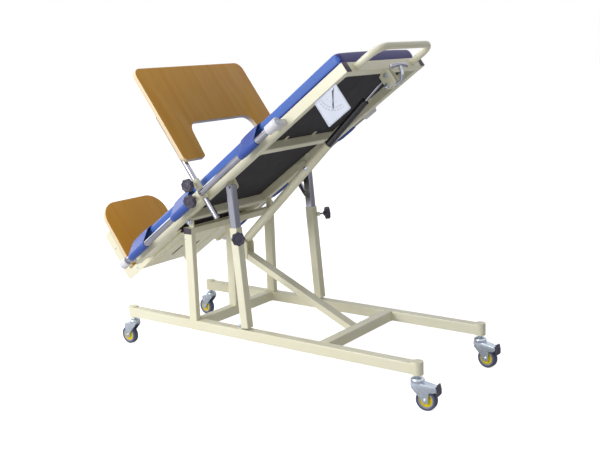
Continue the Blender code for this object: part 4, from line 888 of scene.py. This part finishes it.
def release_grip():
    """The release lever: a bent stem with an eye, and an arched chrome cross bar."""
    bm = bmesh.new()
    stem = bent([(0.941, 0, -0.049), (0.962, 0, -0.0600), (0.990, 0, -0.0660), (1.010, 0, -0.0480),
                 (1.0195, 0, -0.014)],
                [0, 0.03, 0.018, 0.03, 0], 6)
    swept(bm, stem, 0.0058, 18)
    kept = set(bm.verts)
    turned(bm, [(0.0044, -0.0098), (0.0085, -0.0098), (0.0085, 0.0098), (0.0044, 0.0098), (0.0044, -0.0098)],
           28)
    moved(bm, kept, outward((0.941, 0, -0.049), (0, 1, 0)))
    painted = set(bm.faces)
    arch = [Vector((1.0195 - 0.004 * (y / 0.05) ** 2, y, -0.014 - 0.0035 * (y / 0.05) ** 2)) for y in
            [-0.05 + 0.1 * k / 16 for k in range(17)]]
    swept(bm, arch, 0.0078, 24)
    for tip in (arch[0], arch[-1]):
        bmesh.ops.create_uvsphere(bm, u_segments=24, v_segments=14, radius=0.0082,
                                  matrix=Matrix.Translation(tip))
    paint_since(bm, painted, 1)
    finished("release_grip", bm, BED, "lever", "zinc_steel", ZINC, CHROME, replaces=["release_lever"],
             smooth=50)


def gauge_dial():
    """The gauge's printed face: a frame line, two arcs and graduations with numbers, and its rim and screws."""
    face, thick = -0.2636, 0.0004
    pivot = (GAUGE_PIVOT_S, GAUGE_PIVOT_T)
    lines = bmesh.new()

    def stroke(start, end, wide):
        kept = set(lines.verts)
        run = Vector(end) - Vector(start)
        bmesh.ops.create_cube(lines, size=1.0)
        turn = Matrix.Rotation(math.atan2(run.y, run.x), 4, "Z")
        mid = (Vector(start) + Vector(end)) / 2
        moved(lines, kept, Matrix.Translation((mid.x, mid.y, 0)) @ turn
              @ Matrix.Diagonal((run.length, wide, thick, 1)))

    corners = [(0.8045, -0.0975), (0.9085, -0.0975), (0.9085, -0.0035), (0.8045, -0.0035)]
    for k in range(4):
        stroke(corners[k], corners[(k + 1) % 4], 0.0006)
    for radius, first, last in ((0.0600, 0, 90), (0.0430, 12, 78)):
        for k in range(first, last, 3):
            ends = [(pivot[0] - radius * math.sin(math.radians(a)),
                     pivot[1] - radius * math.cos(math.radians(a))) for a in (k, k + 3)]
            stroke(*ends, 0.0006)
    for angle in range(0, 91, 2):
        aim = Vector((-math.sin(math.radians(angle)), -math.cos(math.radians(angle))))
        long = 0.0050 if angle % 10 == 0 else 0.0026
        stroke(Vector(pivot) + aim * 0.0600, Vector(pivot) + aim * (0.0600 + long),
               0.0006 if angle % 10 == 0 else 0.0003)
    for angle in range(0, 91, 10):
        aim = Vector((-math.sin(math.radians(angle)), -math.cos(math.radians(angle))))
        words = bpy.data.curves.new("number", "FONT")
        words.body = str(angle)
        words.size = 0.0072
        words.align_x = "CENTER"
        words.align_y = "CENTER"
        words.extrude = thick / 2
        holder = bpy.data.objects.new("number", words)
        bpy.context.scene.collection.objects.link(holder)
        flat = applied_copy(holder)
        bpy.data.objects.remove(holder)
        flat.transform(Matrix.Translation((*(Vector(pivot) + aim * 0.0715), 0))
                       @ Matrix.Rotation(math.radians(-angle) * 0.999, 4, "Z"))
        lines.from_mesh(flat)
    lie = Matrix.Translation((0, face, 0)) @ Matrix.Rotation(math.pi / 2, 4, "X")
    finished("gauge_print", lines, BED @ lie, "bed", "gauge_plate", INK)

    bm = bmesh.new()
    for s, t in ((0.8085, -0.0935), (0.9045, -0.0935), (0.8085, -0.0075)):
        dome_screw(bm, outward((s, face + 0.0002, t), (0, -1, 0)), 0.0028, 0.0012)
    rim = [(0.8015, -0.1005), (0.9115, -0.1005), (0.9115, -0.0008), (0.8015, -0.0008)]
    swept(bm, bent([(s, face, t) for s, t in rim], [0.003] * 4, 4), 0.0009, 8, True)
    finished("gauge_rim_and_screws", bm, BED, "bed", "zinc_steel", ZINC)

    bm = bmesh.new()
    blade = [(-0.0030, 0.0040), (-0.0030, -0.006), (-0.0010, -0.042), (-0.0030, -0.052), (0.0, -0.070),
             (0.0030, -0.052), (0.0010, -0.042),
             (0.0030, -0.006), (0.0030, 0.0040)]
    plate(bm, list(reversed(blade)), [0.0025, 0, 0, 0.001, 0, 0.001, 0, 0, 0.0025], 0.0010, 0.0002, 3, 1)
    painted = set(bm.faces)
    turned(bm, [(0.0, 0.0006), (0.0046, 0.0006), (0.0046, 0.0018), (0.0036, 0.0026), (0.0, 0.0028)], 28)
    paint_since(bm, painted, 1)
    pin = BED @ Vector((GAUGE_PIVOT_S, -0.2642, GAUGE_PIVOT_T))
    finished("plumb_pointer", bm, Matrix.Translation(pin) @ Matrix.Rotation(math.pi / 2, 4, "X"),
             "plumb_needle", "black_plastic",
             BLACK, ZINC, replaces=["gauge_needle"])


def end_plugs():
    """Dark square plugs in the open ends of the crossbar and of the bed's rails."""
    bm = bmesh.new()
    for side in SIDES.values():
        kept = set(bm.verts)
        plate(bm, [(0.0006, 0.3921), (0.0394, 0.3921), (0.0394, 0.4164), (0.0006, 0.4164)], [0.0028] * 4,
              0.0026, 0.0010, 4)
        moved(bm, kept, Matrix.Translation((0, side * 0.2656 + (0.0026 if side > 0 else 0.0), 0))
              @ Matrix.Rotation(math.pi / 2, 4, "X"))
    finished("crossbar_plugs", bm, BASE, "base_frame", "black_plastic", PLUG)
    bm = bmesh.new()
    for side in SIDES.values():
        for s in (-0.3476, 0.9747):
            kept = set(bm.verts)
            low, high = sorted((side * 0.2376, side * 0.2664))
            plate(bm, [(low, 0.0006), (high, 0.0006), (high, 0.0394), (low, 0.0394)], [0.0028] * 4, 0.0027,
                  0.0010, 4)
            moved(bm, kept, Matrix.Translation((s, 0, 0)) @ STAND)
    finished("rail_plugs", bm, BED, "bed", "black_plastic", PLUG)


def bead_round(bm, corners, radius=0.0017):
    """A weld bead round the corner where one tube meets another."""
    swept(bm, bent(corners, [0.003] * len(corners), 3), radius, 6, True)


def weld_beads():
    """Painted weld beads where the tubes of the base and of the bed meet."""
    bm = bmesh.new()
    for side in SIDES.values():
        for x, tall in ((0.0, 0.040), (0.611, 0.040)):
            y = side * 0.2256
            bead_round(bm, [(x, y, 0.0), (x + 0.040, y, 0.0), (x + 0.040, y, tall), (x, y, tall)])
        low, high = side * 0.2657, side * 0.2407
        bead_round(bm, [(0.0, low, 0.0405), (0.040, low, 0.0405), (0.040, high, 0.0405), (0.0, high, 0.0405)])
    bead_round(bm, [(0.0, -0.020, 0.3912), (0.040, -0.020, 0.3912), (0.040, 0.020, 0.3912),
                    (0.0, 0.020, 0.3912)])
    bead_round(bm, [(0.0404, -0.020, 0.3060), (0.0404, 0.020, 0.3060), (0.0404, 0.020, 0.2800),
                    (0.0404, -0.020, 0.2800)])
    bead_round(bm, [(0.0, -0.020, 0.0400), (0.040, -0.020, 0.0400), (0.040, 0.020, 0.0400),
                    (0.0, 0.020, 0.0400)])
    finished("base_weld_beads", bm, BASE, "base_frame", "cream_paint", CREAM)
    bm = bmesh.new()
    for side in SIDES.values():
        y = side * 0.2369
        for s, tall in ((0.9448, 0.0398), (0.470, 0.0335), (-0.014, 0.0335)):
            bead_round(bm, [(s, y, 0.0), (s + 0.030, y, 0.0), (s + 0.030, y, tall), (s, y, tall)], 0.0014)
    finished("bed_weld_beads", bm, BED, "bed", "cream_paint", CREAM)


def fasteners():
    """Bolt heads, screws and washers that the photograph shows on each body."""
    base = bmesh.new()
    for side in SIDES.values():
        hex_bolt(base, outward((0.026, side * 0.2605, 0.4393), (0, side, 0)), 0.015, 0.006)
        hex_bolt(base, outward((0.256, side * 0.2570, 0.051), (0, side, 0)), 0.010, 0.004)
        hex_bolt(base, outward((0.086, side * 0.0240, 0.316), (0, side, 0)), 0.013, 0.005)
        dome_screw(base, outward((0.006, side * 0.2657, 0.372), (0, side, 0)), 0.0035)
    finished("base_bolts", base, BASE, "base_frame", "zinc_steel", ZINC)
    bed = bmesh.new()
    for side in SIDES.values():
        hex_bolt(bed, outward((0.959, side * 0.0148, -0.016), (0, side, 0)), 0.0125, 0.0055)
        hex_bolt(bed, outward((0.941, side * 0.0148, -0.049), (0, side, 0)), 0.0125, 0.0055)
    finished("bed_bolts", bed, BED, "bed", "zinc_steel", ZINC)
    slide = bmesh.new()
    for side in SIDES.values():
        for s, t in ((-0.502, 0.150), (-0.502, 0.085), (-0.440, 0.018), (-0.300, 0.018)):
            dome_screw(slide, outward((s, side * 0.1831, t), (0, side, 0)), 0.0050, 0.0026)
        for t in (0.080, 0.190):
            dome_screw(slide, outward((-0.4873, side * 0.166, t), (-1, 0, 0)), 0.0045, 0.0022)
    finished("slide_screws", slide, BED, "footboard", "zinc_steel", ZINC)
    ribs = bmesh.new()
    for y in (-0.128, 0.104):
        swept(ribs, [Vector((s, y, 0.0004)) for s in (-0.415, -0.300, -0.185)], 0.0045, 12)
    finished("slide_ribs", ribs, BED, "footboard", "cream_paint", CREAM)
    # Thin dark plates on the pan's underside, not openings: painted shade where the slots are.
    slot = bmesh.new()
    for y in (-0.052, 0.052):
        kept = set(slot.verts)
        plate(slot, [(-0.352, y - 0.006), (-0.268, y - 0.006), (-0.268, y + 0.006), (-0.352, y + 0.006)],
              [0.0055] * 4, 0.0008, 0.0003, 6)
        moved(slot, kept, Matrix.Translation((0, 0, -0.0005)))
    finished("slide_slots_painted_shade", slot, BED, "footboard", "black_plastic", PLUG)
    tube = bmesh.new()
    along = (STRUT_HEAD - STRUT_FOOT).normalized()
    for side in SIDES.values():
        hex_bolt(tube, outward(STRUT_FOOT + along * 0.466 + Vector((0, side * 0.0172, 0)), (0, side, 0)),
                 0.012, 0.004)
    finished("strut_tube_bolt", tube, BASE, "strut_barrel", "zinc_steel", ZINC)
    tray = bmesh.new()
    for side in SIDES.values():
        for t in (0.205, 0.360):
            dome_screw(tray, outward((0.1985, side * 0.2995, t), (0, side, 0)), 0.0032, 0.0018)
    finished("tray_rod_screws", tray, BED, "tray", "zinc_steel", ZINC)


def board_clips():
    """Small bent clips on the cross members and rails that hold the board up from below."""
    bm = bmesh.new()
    for s, y, turn in ((0.502, -0.090, 0.0), (0.502, 0.090, 0.0), (0.330, 0.234, 90.0),
                       (0.330, -0.234, -90.0), (0.720, 0.234, 90.0),
                       (0.720, -0.234, -90.0)):
        kept = set(bm.verts)
        plate(bm, [(-0.008, -0.004), (0.008, -0.004), (0.008, 0.020), (-0.008, 0.020)],
              [0.003, 0.003, 0.007, 0.007], 0.0025, 0.0008, 5)
        dome_screw(bm, outward((0.0, 0.008, 0.0), (0, 0, -1)), 0.0035, 0.0020)
        moved(bm, kept, Matrix.Translation((s, y, 0.0305))
              @ Matrix.Rotation(math.radians(turn - 90.0), 4, "Z"))
    finished("board_clips", bm, BED, "bed", "cream_paint", CREAM)


# The casters
def caster_pieces():
    for corner, (x, angle) in CASTERS.items():
        side = -1.0 if corner.startswith("near") else 1.0
        place = BASE @ Matrix.Translation((x, side * CASTER_Y, 0.0)) @ Matrix.Rotation(math.radians(angle), 4,
                                                                                       "Z")
        fork_piece(corner, place)
        wheel_pieces(corner, place @ Matrix.Translation((TRAIL, 0, -AXLE_DROP))
                     @ Matrix.Rotation(-math.pi / 2, 4, "X"))
        if corner.endswith("head"):
            pedal_piece(corner, place)


def fork_piece(corner, place):
    """A pressed fork under a ball race, with its stem, nut and axle bolt."""
    bm = bmesh.new()
    turned(bm, [(0.0, 0.034), (0.0055, 0.034), (0.0058, 0.033), (0.0058, -0.013), (0.0, -0.013)], 24)
    turned(bm, [(0.0, -0.0122), (0.0110, -0.0122), (0.0190, -0.0135), (0.0228, -0.0165), (0.0240, -0.0205),
                (0.0240, -0.0225),
                (0.0228, -0.0232), (0.0228, -0.0248), (0.0240, -0.0256), (0.0240, -0.0285), (0.0225, -0.0300),
                (0.0, -0.0300)], 48)
    hex_bolt(bm, outward((0, 0, -0.0122), (0, 0, 1)), 0.0150, 0.0062)
    braked = corner.endswith("head")
    if braked:
        outline = [(-0.021, -0.0285), (0.023, -0.0285), (0.0725, -0.0375), (0.0752, -0.0470),
                   (0.066, -0.0555), (0.0455, -0.0590),
                   (0.0425, -0.0982), (0.0235, -0.0982), (0.0185, -0.0850), (-0.017, -0.049)]
        radii = [0.003, 0.006, 0.005, 0.006, 0.004, 0.005, 0.009, 0.009, 0.004, 0.006]
    else:
        outline = [(-0.021, -0.0285), (0.023, -0.0285), (0.048, -0.038), (0.0465, -0.062), (0.0425, -0.0982),
                   (0.0235, -0.0982),
                   (0.0195, -0.0760), (-0.012, -0.043)]
        radii = [0.003, 0.006, 0.005, 0.004, 0.009, 0.009, 0.004, 0.006]
    for side in SIDES.values():
        kept = set(bm.verts)
        plate(bm, outline, radii, FORK_PLATE, 0.0008, 6)
        moved(bm, kept, Matrix.Translation((0, side * FORK_HALF + (FORK_PLATE if side < 0 else 0.0), 0))
              @ Matrix.Rotation(math.pi / 2, 4, "X"))
        hex_bolt(bm, outward((TRAIL, side * FORK_HALF, -AXLE_DROP), (0, side, 0)), 0.0105, 0.0038)
    kept = set(bm.verts)
    plate(bm, [(-0.020, -0.0160), (0.024, -0.0160), (0.024, 0.0160), (-0.020, 0.0160)], [0.006] * 4, 0.0030,
          0.0008, 5)
    moved(bm, kept, Matrix.Translation((0, 0, -0.0318)))
    if braked:
        kept = set(bm.verts)
        plate(bm, [(0.0, -0.0160), (0.047, -0.0160), (0.047, 0.0160), (0.0, 0.0160)],
              [0.0, 0.004, 0.004, 0.0], 0.0022, 0.0008, 5)
        moved(bm, kept, Matrix.Translation((0.021, 0, -0.0307)) @ Matrix.Rotation(math.radians(10.3), 4, "Y"))
    kept = set(bm.verts)
    turned(bm, [(0.0, -0.017), (0.0040, -0.017), (0.0040, 0.017), (0.0, 0.017)], 16)
    moved(bm, kept, outward((TRAIL, 0, -AXLE_DROP), (0, 1, 0)))
    finished(f"fork_pressing_{corner}", bm, place, f"fork_{corner}", "zinc_steel", ZINC,
             replaces=[f"caster_fork_{corner}"])


def wheel_pieces(corner, place):
    """A rounded tyre on a grey rim, round a yellow hub with a boss and ribs."""
    bm = bmesh.new()
    turned(bm, [(0.0300, -0.0110), (0.0325, -0.0122), (0.0345, -0.0123), (0.0362, -0.0112), (0.0372, -0.0088),
                (0.0375, -0.0050),
                (0.0375, 0.0050), (0.0372, 0.0088), (0.0362, 0.0112), (0.0345, 0.0123), (0.0325, 0.0122),
                (0.0300, 0.0110),
                (0.0262, 0.0103), (0.0262, -0.0103), (0.0300, -0.0110)], 64)
    finished(f"tyre_tread_{corner}", bm, place, f"wheel_{corner}", "grey_rubber", TYRE,
             replaces=[f"tyre_{corner}"])
    bm = bmesh.new()
    for side in SIDES.values():
        turned(bm, [(0.0210, side * 0.0060), (0.0232, side * 0.0100), (0.0262, side * 0.0108),
                    (0.0285, side * 0.0112)], 64)
    finished(f"wheel_rim_{corner}", bm, place, f"wheel_{corner}", "grey_rubber", RIM)
    bm = bmesh.new()
    turned(bm, [(0.0044, -0.0124), (0.0080, -0.0124), (0.0095, -0.0112), (0.0105, -0.0070), (0.0200, -0.0064),
                (0.0222, -0.0098),
                (0.0256, -0.0102), (0.0256, 0.0102), (0.0222, 0.0098), (0.0200, 0.0064), (0.0105, 0.0070),
                (0.0095, 0.0112),
                (0.0080, 0.0124), (0.0044, 0.0124), (0.0044, -0.0124)], 48)
    for k in range(6):
        for side in SIDES.values():
            kept = set(bm.verts)
            plate(bm, [(0.0095, -0.0008), (0.0208, -0.0008), (0.0208, 0.0008), (0.0095, 0.0008)], [0] * 4,
                  0.0020, 0.0004, 1, 1)
            moved(bm, kept, Matrix.Rotation(math.pi / 3 * k, 4, "Z")
                  @ Matrix.Translation((0, 0, 0.0062 if side > 0 else -0.0082)))
    finished(f"wheel_core_{corner}", bm, place, f"wheel_{corner}", "yellow_hub", HUB,
             replaces=[f"wheel_hub_{corner}"])


def pedal_piece(corner, place):
    """The brake pedal: an arm over the wheel with a pad, and a raised tab, on its pin."""
    bm = bmesh.new()
    outline = [(0.0245, -0.0335), (0.038, -0.0335), (0.070, -0.0425), (0.074, -0.026), (0.0778, -0.0255),
               (0.0825, -0.044),
               (0.0825, -0.062), (0.0775, -0.068), (0.0745, -0.066), (0.0705, -0.052), (0.063, -0.049),
               (0.057, -0.052),
               (0.050, -0.049), (0.0245, -0.0435)]
    plate(bm, outline, [0.004, 0.004, 0.002, 0.001, 0.001, 0.003, 0.003, 0.0015, 0.0015, 0.003, 0.0, 0.0015,
                        0.002, 0.004],
          0.0244, 0.0007, 4)
    moved(bm, set(), Matrix.Translation((0, 0.0122, 0)) @ Matrix.Rotation(math.pi / 2, 4, "X"))
    kept = set(bm.verts)
    turned(bm, [(0.0, -0.0150), (0.0026, -0.0150), (0.0026, 0.0150), (0.0, 0.0150)], 14)
    moved(bm, kept, outward((PEDAL_PIN_X, 0, -PEDAL_PIN_DROP), (0, 1, 0)))
    finished(f"pedal_tread_{corner}", bm, place, f"pedal_{corner}", "black_plastic", BLACK,
             replaces=[f"brake_pedal_{corner}"])


camera_and_light()
floor()
cushion = mattress_cushion()
straps(cushion)
handle()
panels()
knobs()
bar_holders()
release_grip()
gauge_dial()
end_plugs()
weld_beads()
fasteners()
board_clips()
caster_pieces()
